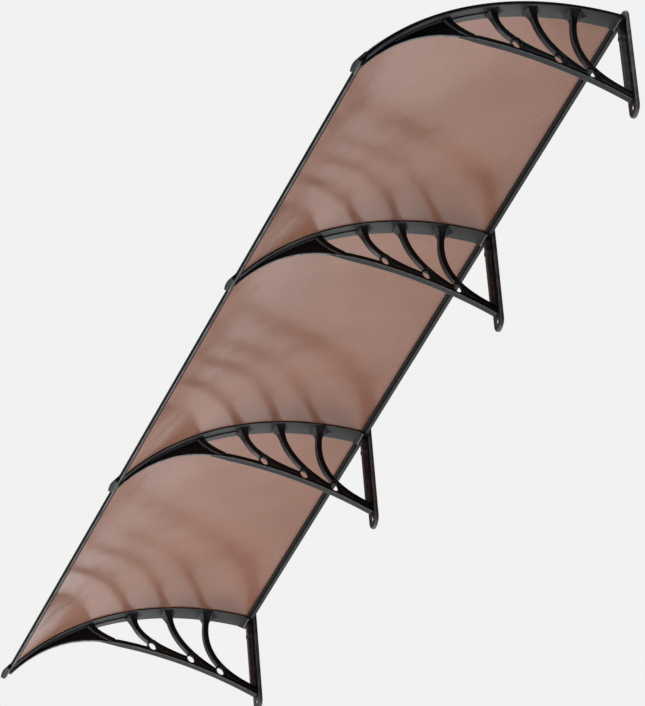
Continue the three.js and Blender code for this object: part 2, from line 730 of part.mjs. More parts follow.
// Brackets with their cover strips and screws
const bracket = bracketGeometry();
const coverStrip = coverStripGeometry();
const screw = screwGeometry();
for (let i = 0; i <= BAYS; i += 1) {
  const station = new THREE.Group();
  station.position.x = (i - BAYS / 2) * BRACKET_SPACING;
  station.add(named(`bracket_${i + 1}`, bracket, blackPlastic));
  station.add(named(`cover_strip_${i + 1}`, coverStrip, blackPlastic));
  SCREW_ANGLES.forEach((angle, k) => {
    const mesh = named(`screw_${i + 1}_${k + 1}`, screw, screwSteel);
    const [y, z] = curvePoint(COVER_TOP, angle);
    mesh.position.set(0, y, z);
    mesh.rotation.x = Math.PI / 2 + angle;
    station.add(mesh);
  });
  awning.add(station);
}

// Sheets with their rails
const sheet = sheetGeometry();
const frontRail = frontRailGeometry();
const wallRail = wallRailGeometry();
for (let i = 0; i < BAYS; i += 1) {
  const bay = new THREE.Group();
  bay.position.x = (i - (BAYS - 1) / 2) * BRACKET_SPACING;
  bay.add(named(`sheet_${i + 1}`, sheet, bronzeSheet));
  bay.add(named(`front_rail_${i + 1}`, frontRail, darkAluminium));
  bay.add(named(`wall_rail_${i + 1}`, wallRail, darkAluminium));
  awning.add(bay);
}

export default awning;
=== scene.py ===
"""Window awning: finished pieces, materials and a stage for the packed model.

Metres, in the packed model's own frame: X runs along the wall, +Y into the wall and +Z up.
Outlines are arrays of (y, z) points, seen from the end of the awning.
"""

from collections import namedtuple

import bpy
import numpy as np
from bpy.props import FloatProperty, FloatVectorProperty, IntProperty, PointerProperty
from mathutils import Matrix, Vector


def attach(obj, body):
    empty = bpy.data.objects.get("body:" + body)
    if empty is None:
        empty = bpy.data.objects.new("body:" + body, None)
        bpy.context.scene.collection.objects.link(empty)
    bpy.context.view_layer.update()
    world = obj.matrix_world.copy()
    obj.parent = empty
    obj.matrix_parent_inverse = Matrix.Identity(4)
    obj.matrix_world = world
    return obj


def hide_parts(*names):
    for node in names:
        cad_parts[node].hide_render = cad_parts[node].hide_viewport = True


bl_info = {
    "name": "Window awning",
    "version": (1, 0, 0),
    "blender": (4, 5, 0),
    "location": "3D View > Sidebar > Awning",
    "description": "Builds the finished pieces of a three-bay window awning and its studio",
    "category": "Object",
}

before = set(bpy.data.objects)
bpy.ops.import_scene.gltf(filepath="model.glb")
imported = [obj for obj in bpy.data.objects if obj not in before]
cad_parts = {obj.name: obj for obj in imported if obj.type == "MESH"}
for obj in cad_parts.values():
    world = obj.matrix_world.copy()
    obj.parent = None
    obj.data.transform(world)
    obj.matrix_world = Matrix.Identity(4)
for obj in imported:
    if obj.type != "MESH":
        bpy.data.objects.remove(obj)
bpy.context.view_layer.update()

MM = 0.001
LENGTH = {"precision": 5, "unit": "LENGTH"}

# Marks of the "edge" attribute: 1 paints a highlight on a rounded edge, more a bright glint line,
# below nought paints shade on a face
PAINTED_GLINT = 8.0
RIDGE_HIGHLIGHT = 6.0
ROUND_START_MARK = 0.6
PAINTED_SHADE = -1.0

# Rounded corners and ends, in steps, turns and shares of a side or of the rounding
CORNER_STEPS = 4
SHARP_TURN = np.radians(15.0)
CORNER_SHARE = 0.42
FLAT_SHARE = 0.15
FLAT_RUN = 0.5
BAR_ROUND_SHARE = 0.6
END_RUN = 1.6

# Camera, lamps and cards in metres; a sun has its strength's name, its direction and its spread
SENSOR_WIDTH = 36.0
SUNS = {
    "key_from_behind": ("key", (-0.30, 0.75, -0.60), 40.0),
    "soft_from_front": ("front", (-0.20, -0.50, -0.84), 60.0),
    "soft_from_above": ("top", (0.25, -0.35, 0.90), 60.0),
}
LEFT_LAMP_SIZE = 1.5
LEFT_LAMP_PLACE = (-2.0, -0.1, -2.4)
FLOOR_HALF = 30.0
CARD_DISTANCE = 6.0
FLAG_TOWARD = (0.75, 0.30, 0.59)
FLAG_HALF = 7.0
SOFTBOX_TOWARD = (-0.70, -0.52, -0.49)
SOFTBOX_HALF = 2.2
SQUARE = ((-1, -1), (1, -1), (1, 1), (-1, 1))
BLACK = (0.0, 0.0, 0.0, 1.0)
WHITE = (1.0, 1.0, 1.0, 1.0)

Shell = namedtuple("Shell", "points quads caps edge")


# Sizes and colours


def number(name, description, default, **options):
    """A property of one number."""
    return FloatProperty(name=name, description=description, default=default, **options)


def numbers(name, description, default, **options):
    """A property of a row of numbers."""
    options["size"] = len(default)
    return FloatVectorProperty(name=name, description=description, default=default, **options)


def amount(name, description, default):
    """A property of nought or more."""
    return number(name, description, default, min=0.0)


def share(name, description, default):
    """A property from nought to one."""
    return number(name, description, default, min=0.0, max=1.0, subtype="FACTOR")


def degrees(name, description, default):
    """An angle property whose default is given in degrees."""
    return number(name, description, np.radians(default), subtype="ANGLE", unit="ROTATION")


def length(name, description, millimetres):
    """A length property whose default is given in millimetres."""
    options = {"min": 0.0, "subtype": "DISTANCE", **LENGTH}
    return number(name, description, millimetres * MM, **options)


def lengths(name, description, millimetres):
    """A row of lengths whose defaults are given in millimetres."""
    default = [value * MM for value in millimetres]
    return numbers(name, description, default, subtype="NONE", **LENGTH)


def colour(name, description, default):
    """A linear colour property."""
    return numbers(name, description, default, min=0.0, max=1.0, subtype="COLOR")


class AwningCurveSizes(bpy.types.PropertyGroup):
    """The bays and the curve that the sheets follow"""

    bays: IntProperty(name="Bays", description="Sheets side by side", default=3, min=1)
    spacing: length("Bracket spacing", "From one bracket to the next", 1000.0)
    radius: length("Sheet radius", "Radius of a sheet's underside", 885.0)
    thickness: length("Sheet thickness", "Thickness of a sheet", 4.0)
    drop: length("Sheet drop", "From the origin down to the underside at the wall edge", 27.0)
    wall_gap: length("Wall gap", "From the wall to a sheet's wall edge", 15.0)
    front_reach: length("Front reach", "From the wall to a sheet's front edge", 795.0)
    crown_reach: length("Crown reach", "From the wall to the highest line of the curve", 120.0)
    fit: length("Fit", "Clearance between pieces that touch", 0.3)
    sheet_edge: length("Sheet edge radius", "Rounding of a sheet's edges", 0.8)


class AwningBracketSizes(bpy.types.PropertyGroup):
    """The moulded bracket"""

    flange_width: length("Flange width", "Width of the curved flange", 56.0)
    flange_thickness: length("Flange thickness", "Thickness of the curved flange", 4.0)
    flange_edge: length("Flange edge radius", "Rounding of the flange", 1.3)
    # Painted shade on the flange and bead, growing from the first reach to the second
    shade_reach: lengths("Polished reach", "Where the flange turns polished", (600.0, 680.0))
    spine_width: length("Spine width", "Width of the spine between two sheets", 12.0)
    spine_gap: length("Spine gap", "From the spine to the sheet beside it", 1.0)
    bead_width: length("Bead width", "Width of the bead under the front of the flange", 20.0)
    bead_depth: length("Bead depth", "Depth of that bead", 4.0)
    bead_start: length("Bead start", "In front of the front strut's top", 19.0)
    bead_end: length("Bead end", "Behind the sheet's front edge", 105.0)
    rib_width: length("Rib width", "Width of the thin rib between the struts' heads", 4.0)
    rib_depth: length("Rib depth", "Depth of that rib", 4.0)
    web_thickness: length("Web thickness", "Thickness of the front web", 8.0)
    web_power: number("Web curve", "Power by which the web deepens to the bar", 2.1, min=1.0)
    # Painted highlight on the web's lower edge and its rounds
    web_highlight: amount("Web edge", "Mark of the web's rubbed edge", 2.2)
    nose_width: length("Nose width", "Width of the nose between two front rails", 10.0)
    nose_depth: length("Nose depth", "Depth of the nose below the flange", 6.0)
    nose_overhang: length("Nose overhang", "Past the sheet's front edge", 5.0)
    nose_run: length("Nose run", "Length of the nose behind that edge", 28.0)
    bar_radius: length("Bar radius", "Radius of the lower bar's arc", 1200.0)
    bar_crest: length("Bar crest", "From the wall to the highest point of the bar", 530.0)
    bar_foot_drop: length("Bar foot drop", "From the origin down to the bar at the plate", 296.0)
    bar_thickness: length("Bar thickness", "Height of the lower bar", 14.0)
    bar_start: length("Bar start", "From the wall to where the web becomes the bar", 500.0)
    bar_taper: length("Bar taper", "Length over which the bar widens", 70.0)
    # Painted shade on the bar's underside and a painted highlight on its rounded edges
    bar_underside: number("Bar underside", "Mark of the underside, polished below nought", -0.35)
    bar_highlight: amount("Bar edges", "Mark of the bar's rubbed edges", 2.5)
    lattice_width: length("Lattice width", "Width of the bar and the struts", 20.0)
    lattice_edge: length("Lattice edge radius", "Rounding of the bar and the struts", 1.3)
    pocket_web: length("Pocket web", "Wall between the bar and a strut's tail", 10.0)
    boss_reach: lengths("Boss reach", "From the wall to each boss", (334.0, 213.0, 121.0))
    boss_rise: length("Boss rise", "Above the bar's underside", 25.0)
    boss_radii: lengths("Boss radii", "Half axes of a boss", (16.0, 19.0))
    seat_radii: lengths("Seat radii", "Half axes of the recess on each side", (14.0, 17.4))
    hole_radii: lengths("Hole radii", "Half axes of the hole", (11.0, 15.0))
    boss_web: length("Boss web", "Wall between the two recesses", 4.0)
    boss_proud: length("Boss rim", "How far a boss's rim stands out beside the bar", 0.6)
    strut_thickness: length("Strut thickness", "Thickness of a strut", 17.0)
    strut_width: length("Strut width", "Width of a strut", 16.5)
    strut_behind: length("Strut behind", "How far a strut reaches behind its curve", 2.5)
    # Painted light on a strut's front: painted shade where it stands upright, a painted highlight
    # where it faces down
    strut_slopes: numbers(
        "Strut slopes",
        "Downward share of a front that is polished and of one that is rubbed",
        (0.35, 0.75),
        min=0.0,
        max=1.0,
    )
    strut_marks: numbers("Strut marks", "Mark of a polished front and a rubbed one", (-0.6, 2.6))
    strut_tops: lengths("Strut tops", "From the wall to each strut's top", (383.0, 269.0, 142.0))
    strut_out: lengths("Strut bend, out", "From a boss to its bend, outwards", (64.0, 59.0, 76.0))
    strut_up: lengths("Strut bend, up", "From a boss to its bend, upwards", (23.0, 52.0, 26.0))
    tail_out: length("Tail out", "A tail ends this far in front of the next boss", 15.0)
    tail_up: length("Tail up", "A tail ends this far above the next boss", 3.0)
    last_tail_drop: length("Last tail drop", "From the origin to the last strut's end", 267.0)
    front_top: length("Front strut top", "In front of the bar's start", 26.0)
    front_end: length("Front strut end", "Behind the bar's start", 45.0)
    front_bend: lengths("Front strut bend", "Out and up from its end", (63.0, 22.0))
    front_flare: share("Front strut flare", "Share of the heads' growth at the front strut", 0.3)
    head_flare: numbers(
        "Head flare", "Share of the heads' growth at each strut", (0.9, 0.9, 1.4), min=0.0
    )
    head_front: length("Head growth, front", "Growth of a strut's head along the flange", 34.0)
    head_tip: length("Head tip", "Further growth at the middle of its front", 10.0)
    head_back: length("Head growth, back", "Growth of its back's middle towards the wall", 24.0)
    head_spread: length("Head spread", "Growth of a strut's head along the wall", 31.0)
    head_length: length("Head length", "Length of the flare below the flange", 48.0)
    # Painted shade: a dark line where a head meets the flange, reaching this far below it
    head_line: length("Head line", "Depth of the dark line where a head meets the flange", 2.5)
    head_power: number("Head curve", "Power by which a head grows to the flange", 2.15, min=1.0)
    plate_width: length("Plate width", "Width of the wall plate", 56.0)
    plate_thickness: length("Plate thickness", "Thickness of the wall plate", 10.0)
    plate_top: length("Plate top", "Above the origin", 12.0)
    plate_length: length("Plate length", "Length of the wall plate", 357.0)
    plate_edge: length("Plate edge radius", "Rounding of the plate's front", 4.5)
    plate_rib_width: length("Plate rib width", "Width of the rib on the plate", 14.0)
    plate_rib_depth: length("Plate rib depth", "Depth of the rib on the plate", 15.0)
    wall_hole: length("Wall hole radius", "Radius of the two bolt holes", 5.4)
    back_rim: length("Back rim", "Rim round the recess behind the lower hole", 6.0)
    back_skin: length("Back skin", "Wall left in front of that recess", 2.5)
    back_length: length("Back recess length", "From the hole up", 40.0)
    upper_hole_drop: length("Upper hole drop", "From the origin down to the upper hole", 80.0)
    hole_boss: length("Hole boss radius", "Boss round the upper hole", 11.0)
    # The head block is painted in shade and the bead along its lip carries a painted glint
    block_reach: length("Head block reach", "Head block under the flange", 46.0)
    block_lip: length("Head block lip", "From the wall to the block's lower lip", 26.0)
    block_drop: length("Head block drop", "Below the flange at the lip", 5.0)
    block_bead: length("Head block bead", "Radius of the bead along that lip", 1.2)


class AwningRailSizes(bpy.types.PropertyGroup):
    """The aluminium rails"""

    wall: length("Rail wall", "Wall thickness of both rails", 3.0)
    front_lip: length("Front lip", "Front rail's grip on the sheet", 18.0)
    front_nose: length("Front nose", "Nose of the front rail past the sheet", 5.0)
    nose_low: length("Nose bottom", "Upright part of the nose below the sheet's underside", 0.8)
    nose_high: length("Nose top", "The same above that underside", 1.8)
    # The ridge carries a painted highlight line
    ridge: length("Front ridge", "How far the ridge below the nose stands out", 1.4)
    ridge_width: length("Ridge width", "Width of that ridge", 3.0)
    ridge_back: length("Ridge place", "From the nose's upright part back to that ridge", 1.0)
    ridge_up: length("Ridge height", "From the rail's underside up to that ridge", 1.0)
    # Painted shade on the front rail: this share of it on the lip
    lip_shade: share("Lip polish", "How deep the lip's black is beside the nose's", 0.5)
    wall_lip: length("Wall lip", "Wall rail's lower grip on the sheet", 16.0)
    wall_upper_lip: length("Upper lip", "Wall rail's upper grip on the sheet", 13.0)
    step: length("Step", "Where the thicker part of the lower lip starts", 6.0)
    step_depth: length("Step depth", "Depth of that part", 3.0)
    leg_height: length("Leg height", "Upright leg on the wall", 24.0)
    leg_thickness: length("Leg thickness", "Thickness of that leg", 2.5)
    edge: length("Rail edge radius", "Rounding of the rails", 0.7)
    seal_depth: length("Seal depth", "Depth of the seal under the wall rail's lip", 1.2)
    seal_start: length("Seal start", "How far the seal reaches past the lip", 0.8)
    groove: length("Groove", "Width of the groove between the seal and the step", 3.0)


class AwningStripSizes(bpy.types.PropertyGroup):
    """The cover strips and their screws"""

    width: length("Strip width", "Width of a cover strip", 56.0)
    thickness: length("Strip thickness", "Thickness of a cover strip at its middle", 9.0)
    edge_height: length("Strip edge height", "Upright edge of a strip", 2.5)
    edge: length("Strip edge radius", "Rounding of a strip", 1.0)
    cap_height: length("Cap height", "End cap above the rails at its middle", 6.5)
    cap_edge: length("Cap edge height", "Upright edge of the end cap", 2.0)
    cap_length: length("Cap length", "Length of the end cap", 44.0)
    cap_overhang: length("Cap overhang", "Past the sheet's front edge", 15.5)
    cap_drop: length("Cap drop", "Its front hangs below the sheet", 4.0)
    cap_corner: length("Cap corner", "Rounding of that front's lower corners", 9.0)
    cap_step: length("Cap step", "That front is set back from the bow above it", 1.0)
    cap_round: length("Cap edge radius", "Rounding of the end cap", 1.2)
    # Painted highlight on the hanging front's rounds and painted shade on its face
    cap_highlight: amount("Cap edges", "Mark of that front's rubbed edges", 3.5)
    cap_face: number("Cap face", "Mark of that front, polished below nought", -0.45)
    screws: IntProperty(name="Screws", description="Screws in a strip", default=5, min=2)
    screw_margin: degrees("Screw margin", "Angle from a sheet's edge to the nearest screw", 5.0)
    screw_radius: length("Screw radius", "Radius of a shank", 2.0)
    screw_depth: length("Screw depth", "Below the cover strip", 6.0)
    head_radius: length("Head radius", "Radius of a screw's head", 5.0)
    head_height: length("Head height", "Height of a screw's head", 3.0)
    cross_length: length("Cross length", "Half length of the cross recess", 2.6)
    cross_width: length("Cross width", "Half width of the cross recess", 0.6)
    cross_depth: length("Cross depth", "Depth of the cross recess", 1.3)


class AwningFinish(bpy.types.PropertyGroup):
    """Colours, surface detail, and painted light and shade"""

    plastic: colour("Plastic", "Black moulded plastic", (0.047, 0.0485, 0.050))
    plastic_cloud: colour("Plastic bloom", "Paler patches on the plastic", (0.060, 0.0615, 0.063))
    # Painted shade: the colour of plastic faces marked below nought
    plastic_shade: colour("Plastic, deep", "Polished faces of the plastic", (0.008, 0.009, 0.011))
    # Painted highlight: the colour of marked plastic edges and faces
    plastic_highlight: colour("Plastic edge", "Rubbed edges of the plastic", (0.42, 0.42, 0.43))
    sheet: colour("Sheet", "Bronze-tinted sheet", (0.380, 0.172, 0.116))
    sheet_pale: colour("Sheet, pale", "Paler patches of the sheet", (0.444, 0.216, 0.152))
    sheet_line: colour("Sheet line", "Fine lines of the sheet", (0.060, 0.022, 0.012))
    line_pitch: length("Line pitch", "From one fine line to the next", 5.15)
    line_strength: share("Line strength", "How strongly the lines show", 0.7)
    rail: colour("Rail", "Dark coated aluminium", (0.046, 0.047, 0.049))
    rail_streak: colour("Rail streak", "Drawing lines along the rails", (0.068, 0.069, 0.071))
    # Painted shade: the colour of rail faces marked below nought
    rail_shade: colour("Rail, deep", "Polished faces of the front rails", (0.005, 0.005, 0.005))
    # Painted highlight: the colour of marked rail edges
    rail_highlight: colour("Rail edge", "Rubbed edges of the rails", (0.42, 0.42, 0.43))
    seal: colour("Seal", "Black rubber of the seals", (0.022, 0.021, 0.020))
    seal_bloom: colour("Seal bloom", "Chalky patches on the seals", (0.032, 0.030, 0.028))
    # Painted shade: near black in the groove beside the seals
    groove_shade: colour("Groove", "Groove beside the seals", (0.001, 0.001, 0.001))
    steel: colour("Screw steel", "Plain steel of the screws", (0.46, 0.46, 0.48))
    steel_dark: colour("Steel, dark", "Darker patches of that steel", (0.3312, 0.3312, 0.3456))


class AwningStage(bpy.types.PropertyGroup):
    """Camera, light and background"""

    aim: numbers(
        "Aim",
        "Point at the middle of the picture",
        (0.0330, -0.3481, -0.1582),
        subtype="TRANSLATION",
        unit="LENGTH",
    )
    azimuth: degrees("Azimuth", "Direction of the view, from +Y towards -X", 67.048)
    elevation: degrees("Elevation", "Height of the camera above the horizon", -35.835)
    roll: degrees("Roll", "Turn of the camera about its own line of sight", -4.808)
    distance: length("Distance", "From the camera to the aim", 19075.7)
    lens: number(
        "Lens",
        "Focal length in millimetres for a 36 mm long side",
        342.32,
        subtype="DISTANCE_CAMERA",
        unit="CAMERA",
    )
    floor_drop: length("Floor drop", "From the origin down to the floor", 2500.0)
    floor_colour: colour("Floor", "Pale floor", (0.86, 0.86, 0.86))
    background: colour("Background", "Pale background", (0.885, 0.885, 0.88))
    fill: amount("Fill", "Light from all round", 0.05)
    key: amount("Key", "Light from below and behind", 2.3)
    front: amount("Front", "Light from below and in front", 1.1)
    softbox: amount("Softbox", "Bright card below and in front", 3.5)
    top: amount("Top", "Light from above", 2.2)
    left: amount("Left", "Lamp below the left end", 12.0)


# Surfaces


def skin(grid, edge, joined=False):
    """Closed skin over a grid of closed loops.

    Neighbouring loops are joined by four-sided faces. The first and the last loop are closed by
    a flat face each, or joined to each other. The sign of the enclosed volume, the sum of
    p0 . (p1 x p2) / 6 over the triangles, turns the faces outwards.
    """
    loops, count = grid.shape[:2]
    index = np.arange(loops * count).reshape(loops, count)
    beside = np.roll(index, -1, axis=1)
    if joined:
        quads = np.stack([index, beside, np.roll(beside, -1, 0), np.roll(index, -1, 0)], -1)
        caps = np.empty((0, count), int)
    else:
        quads = np.stack([index[:-1], beside[:-1], beside[1:], index[1:]], -1)
        caps = np.stack([index[0, ::-1], index[-1]])
    quads = quads.reshape(-1, 4)
    points = grid.reshape(-1, 3)
    fans = [quads[:, [0, 1, 2]], quads[:, [0, 2, 3]]]
    fans += [np.stack([np.full(count - 2, cap[0]), cap[1:-1], cap[2:]], -1) for cap in caps]
    a, b, c = np.moveaxis(points[np.concatenate(fans)], 1, 0)
    if np.einsum("ij,ij->", a, np.cross(b, c)) < 0.0:
        quads = quads[:, ::-1]
        caps = caps[:, ::-1]
    return Shell(points, quads, caps, np.broadcast_to(edge, (loops, count)).reshape(-1))


def filleted(corners, radius):
    """Closed outline with rounded corners.

    A sharp corner c becomes the curve (1-t)^2 a + 2t(1-t) c + t^2 b between points a and b that
    lie radius * tan(turn / 2) before and after it, with one more point on each side that keeps
    the flats flat. A gentle turn keeps its one point. The second result is 1 on the rounds, the
    mark of a painted highlight.
    """
    corners = np.asarray(corners, float)
    before = np.roll(corners, 1, axis=0) - corners
    after = np.roll(corners, -1, axis=0) - corners
    run_before = np.linalg.norm(before, axis=1)
    run_after = np.linalg.norm(after, axis=1)
    before = before / run_before[:, None]
    after = after / run_after[:, None]
    turn = np.arccos(np.clip(-np.einsum("ij,ij->i", before, after), -1.0, 1.0))
    room = CORNER_SHARE * np.minimum(run_before, run_after)
    reach = np.minimum(radius * np.tan(turn / 2.0), room)
    extra = np.minimum(FLAT_RUN * radius, FLAT_SHARE * room)
    start = corners + before * reach[:, None]
    end = corners + after * reach[:, None]
    t = np.linspace(0.0, 1.0, CORNER_STEPS + 1)[None, :, None]
    arc = (1 - t) ** 2 * start[:, None] + 2 * t * (1 - t) * corners[:, None] + t**2 * end[:, None]
    lead = (start + before * extra[:, None])[:, None]
    trail = (end + after * extra[:, None])[:, None]
    line = np.concatenate([lead, arc, trail], axis=1)
    sharp = turn > SHARP_TURN
    line[~sharp, 0] = corners[~sharp]
    keep = np.repeat(sharp[:, None], line.shape[1], axis=1)
    keep[:, 0] = True
    mark = np.ones(line.shape[1])
    mark[[0, -1]] = 0.0
    mark[[1, -2]] = ROUND_START_MARK
    marks = np.where(sharp[:, None], mark, 0.0)
    return line[keep], marks[keep]


def inward(outline):
    """Inward unit normals of a closed outline: the chord between a point's two neighbours, turned
    a quarter to the side that the sign of the enclosed area gives."""
    ahead = np.roll(outline, -1, axis=0)
    chord = ahead - np.roll(outline, 1, axis=0)
    area = np.sum(outline[:, 0] * ahead[:, 1] - ahead[:, 0] * outline[:, 1])
    normal = np.stack([-chord[:, 1], chord[:, 0]], axis=1) * np.sign(area)
    return normal / np.maximum(np.linalg.norm(normal, axis=1, keepdims=True), 1e-12)


def end_rounds(radius, steps=3):
    """How far an outline draws in and runs on over a rounded end: r(1 - sin a) and r(1 - cos a)
    for a from nought to a quarter turn."""
    turn = np.linspace(0.0, np.pi / 2.0, steps + 1)
    return radius * (1.0 - np.sin(turn)), radius * (1.0 - np.cos(turn))


def run_with_rounds(start, end, radius, inner):
    """Stations from start to end with rounded ends, and how far the outline draws in at each."""
    draw, run = end_rounds(radius)
    middle = np.linspace(start + END_RUN * radius, end - END_RUN * radius, inner)
    stations = np.concatenate([start + run, middle, end - run[::-1]])
    return stations, np.concatenate([draw, np.zeros(inner), draw[::-1]])


def drawn_in(corners, radius, draw):
    """Outline with rounded corners at each station, drawn in along its inward normals by the
    station's own distance. The second result is 1 on the rounds and where it is drawn in."""
    outline, mark = filleted(corners, radius)
    lines = outline + draw[:, None, None] * inward(outline)
    return lines, np.maximum(mark, np.where(draw > 0.0, 1.0, 0.0)[:, None])


def prism(corners, half_width, radius):
    """Outline with rounded corners carried along X, its two ends rounded too."""
    x, draw = run_with_rounds(-half_width, half_width, radius, 2)
    lines, marks = drawn_in(corners, radius, draw)
    across = np.broadcast_to(x[:, None, None], lines.shape[:2] + (1,))
    return skin(np.concatenate([across, lines], axis=2), marks)


def arc_sweep(curve, corners, radius, start, end, stations):
    """Profile of (x, radius) points with rounded corners, carried along the sheets' curve from
    one angle to another: y and z follow curve.point, and both ends are rounded."""
    angles, draw = run_with_rounds(start, end, radius / curve.radius, stations)
    lines, marks = drawn_in(corners, radius, draw * curve.radius)
    seen = curve.point(lines[..., 1], angles[:, None])
    return skin(np.concatenate([lines[..., :1], seen], axis=2), marks)


def marked(shell, mark):
    """The same shell with one mark all over."""
    return shell._replace(edge=np.full_like(shell.edge, mark))


def full_turn(count):
    """Angles of a full turn in equal steps."""
    return np.linspace(0.0, 2.0 * np.pi, count, endpoint=False)


def rectangle(half_width, low, high):
    """Corners of an upright rectangle about x = 0."""
    return [(-half_width, low), (half_width, low), (half_width, high), (-half_width, high)]


def bar_grid(
    centres, across, half_width, half_depth, radius, tips=(0.0, 0.0), flats=(0.0,) * 3, rounds=1.0
):
    """Rounded rectangle carried along a line of (y, z) centres.

    The section is u = su(a - r) + r cos f, v = sv(b - r) + r sin f at its four corners, with a
    point on each flat beside every corner and three at the middle of the two flats across v; u
    runs along X and v along `across`. The middles of the +v and -v flats move out by the two tips.
    The second result is the mark of painted light: painted shade on the flats across X, and as
    given on the +v flat, on its middle line, on the -v flat and on the rounds.
    """
    quarter = np.linspace(0.0, np.pi / 2.0, CORNER_STEPS + 1)
    local = np.concatenate([quarter[:1], quarter, np.repeat(quarter[-1:], 4)])
    corner = np.repeat(np.arange(4), len(local))
    turn = np.tile(local, 4) + corner * np.pi / 2.0
    slide = np.tile(np.concatenate([[-1.0], np.zeros(len(quarter)), [1.0, 2.0, 3.0, 4.0]]), 4)
    keep = (slide < 2.0) | (corner % 2 == 0)
    corner, turn, slide = corner[keep], turn[keep], slide[keep]
    side_u = np.array([1.0, -1.0, -1.0, 1.0])[corner]
    side_v = np.array([1.0, 1.0, -1.0, -1.0])[corner]

    def each(value):
        return np.broadcast_to(value, len(centres)).reshape(-1, 1)

    a, b, front, back = (each(value) for value in (half_width, half_depth, *tips))
    plus, ridge, minus = (each(value) for value in flats)
    r = np.minimum(radius, BAR_ROUND_SHARE * np.minimum(a, b))
    u = side_u * (a - r) + r * np.cos(turn) - FLAT_RUN * r * slide * np.sin(turn)
    v = side_v * (b - r) + r * np.sin(turn) + FLAT_RUN * r * slide * np.cos(turn)
    middle = slide >= 2.0
    tip = np.where(side_v > 0.0, front, back)
    u = np.where(middle, side_u * (3.0 - slide) * r, u)
    v = np.where(middle, side_v * (b + tip * (1.0 - np.abs(u) / a)), v)
    seen = centres[:, None, :] + v[..., None] * across[:, None, :]
    flat = np.where(side_v > 0.0, np.where(slide == 3.0, ridge, plus), minus)
    # Faces across X get painted shade
    flat = np.where(np.isclose(np.abs(np.cos(turn)), 1.0), PAINTED_SHADE, flat)
    mark = np.where(slide == 0.0, rounds, flat)
    return np.concatenate([u[..., None], seen], axis=2), mark


def upright_grid(y, low, high, half_width, radius, **marks):
    """Rounded rectangle that stands between two heights, carried along Y."""
    centres = np.stack([y, (low + high) / 2.0], axis=1)
    up = np.broadcast_to([0.0, 1.0], centres.shape)
    return bar_grid(centres, up, half_width, (high - low) / 2.0, radius, **marks)


def bezier(controls, t):
    """Quadratic curve (1-t)^2 a + 2t(1-t) b + t^2 c, and its direction, at an array of t."""
    a, b, c = np.asarray(controls, float)
    t = t[:, None]
    line = (1 - t) ** 2 * a + 2 * t * (1 - t) * b + t**2 * c
    way = 2 * (1 - t) * (b - a) + 2 * t * (c - b)
    return line, way / np.linalg.norm(way, axis=1, keepdims=True)


def stadium(radius, low, high, turn):
    """Round-ended loop: x = r cos f and z = r sin f above `high` or below `low`."""
    middle = np.where(np.arange(len(turn)) < len(turn) // 2, high, low)
    return np.stack([radius * np.cos(turn), middle + radius * np.sin(turn)], axis=-1)


class SheetCurve:
    """Circle that the sheets follow, seen from the end of the awning.

    Angles are measured at its centre from the crown, and grow towards the front.
    """

    def __init__(self, sizes):
        self.radius = sizes.radius
        self.fit = sizes.fit
        self.thickness = sizes.thickness
        self.crown = sizes.crown_reach
        self.front_reach = sizes.front_reach
        self.wall_angle = self.angle(sizes.wall_gap, self.radius)
        self.front_angle = self.angle(sizes.front_reach, self.radius)
        self.centre_z = -sizes.drop - self.radius * np.cos(self.wall_angle)
        self.sheet_top = self.radius + sizes.thickness
        self.cover_bottom = self.sheet_top + sizes.fit

    def angle(self, reach, radius):
        """asin of the reach past the crown over the radius."""
        return np.arcsin((reach - self.crown) / radius)

    def point(self, radius, angle):
        """y = -crown - r sin a and z = centre + r cos a."""
        y = -self.crown - radius * np.sin(angle)
        z = self.centre_z + radius * np.cos(angle)
        return np.stack(np.broadcast_arrays(y, z), axis=-1)

    def height(self, reach, radius):
        """Height of the circle of that radius at a reach from the wall."""
        return self.point(radius, self.angle(reach, radius))[..., 1]

    def edge(self, angle, outward, lip):
        """Frame at a sheet's edge, turned to the middle of the lip that grips it: a function of
        the run past the edge and the height above the underside."""
        turn = angle - outward * lip / (2.0 * self.radius)
        along = -outward * np.array([np.cos(turn), np.sin(turn)])
        up = np.array([-np.sin(turn), np.cos(turn)])
        origin = self.point(self.radius, angle)

        def place(run, rise):
            return origin + np.multiply.outer(run, along) + np.multiply.outer(rise, up)

        return place


# Bracket

# How far forms run into each other, and small gaps, steps and lengths
SINK = 1.0 * MM
TOUCH = 0.1 * MM
HAIR = 0.01 * MM
PLATE_INSET = 0.05 * MM
RIM_BACK = 1.4 * MM
HEAD_ABOVE = 10.0 * MM
STRUT_STEP = 0.15 * MM
POCKET_GAP = 4.0 * MM
WEB_GAP = 3.0 * MM
BAR_PROUD = 0.2 * MM
PLATE_LAP = 15.0 * MM
RIB_GAP = 8.0 * MM

# Rounding of small edges
POCKET_EDGE = 0.5 * MM
WEB_EDGE = 1.6 * MM
BOSS_EDGE = 0.7 * MM
SPINE_EDGE = 0.6 * MM
BEAD_EDGE = 1.8 * MM
RIB_EDGE = 0.9 * MM
NOSE_EDGE = 1.0 * MM
HOLE_EDGE = 0.6 * MM
BACK_EDGE = 0.8 * MM
PLATE_RIB_EDGE = 1.6 * MM
BLOCK_EDGE = 1.2 * MM
LINE_EDGE = 0.5 * MM

# Shares of a head's growth where it starts, of the plate's rounding where its face starts and of
# the painted shade on the flange, and marks of painted highlights on edges
HEAD_LEAST = 0.08
FACE_IN = 1.2
FLANGE_SHADE = 0.9
HOLE_HIGHLIGHT = 0.8
SOFT_HIGHLIGHT = 0.3
BACK_HIGHLIGHT = 0.5
RIM_HIGHLIGHT = 1.6
SIDE_HIGHLIGHT = 2.0
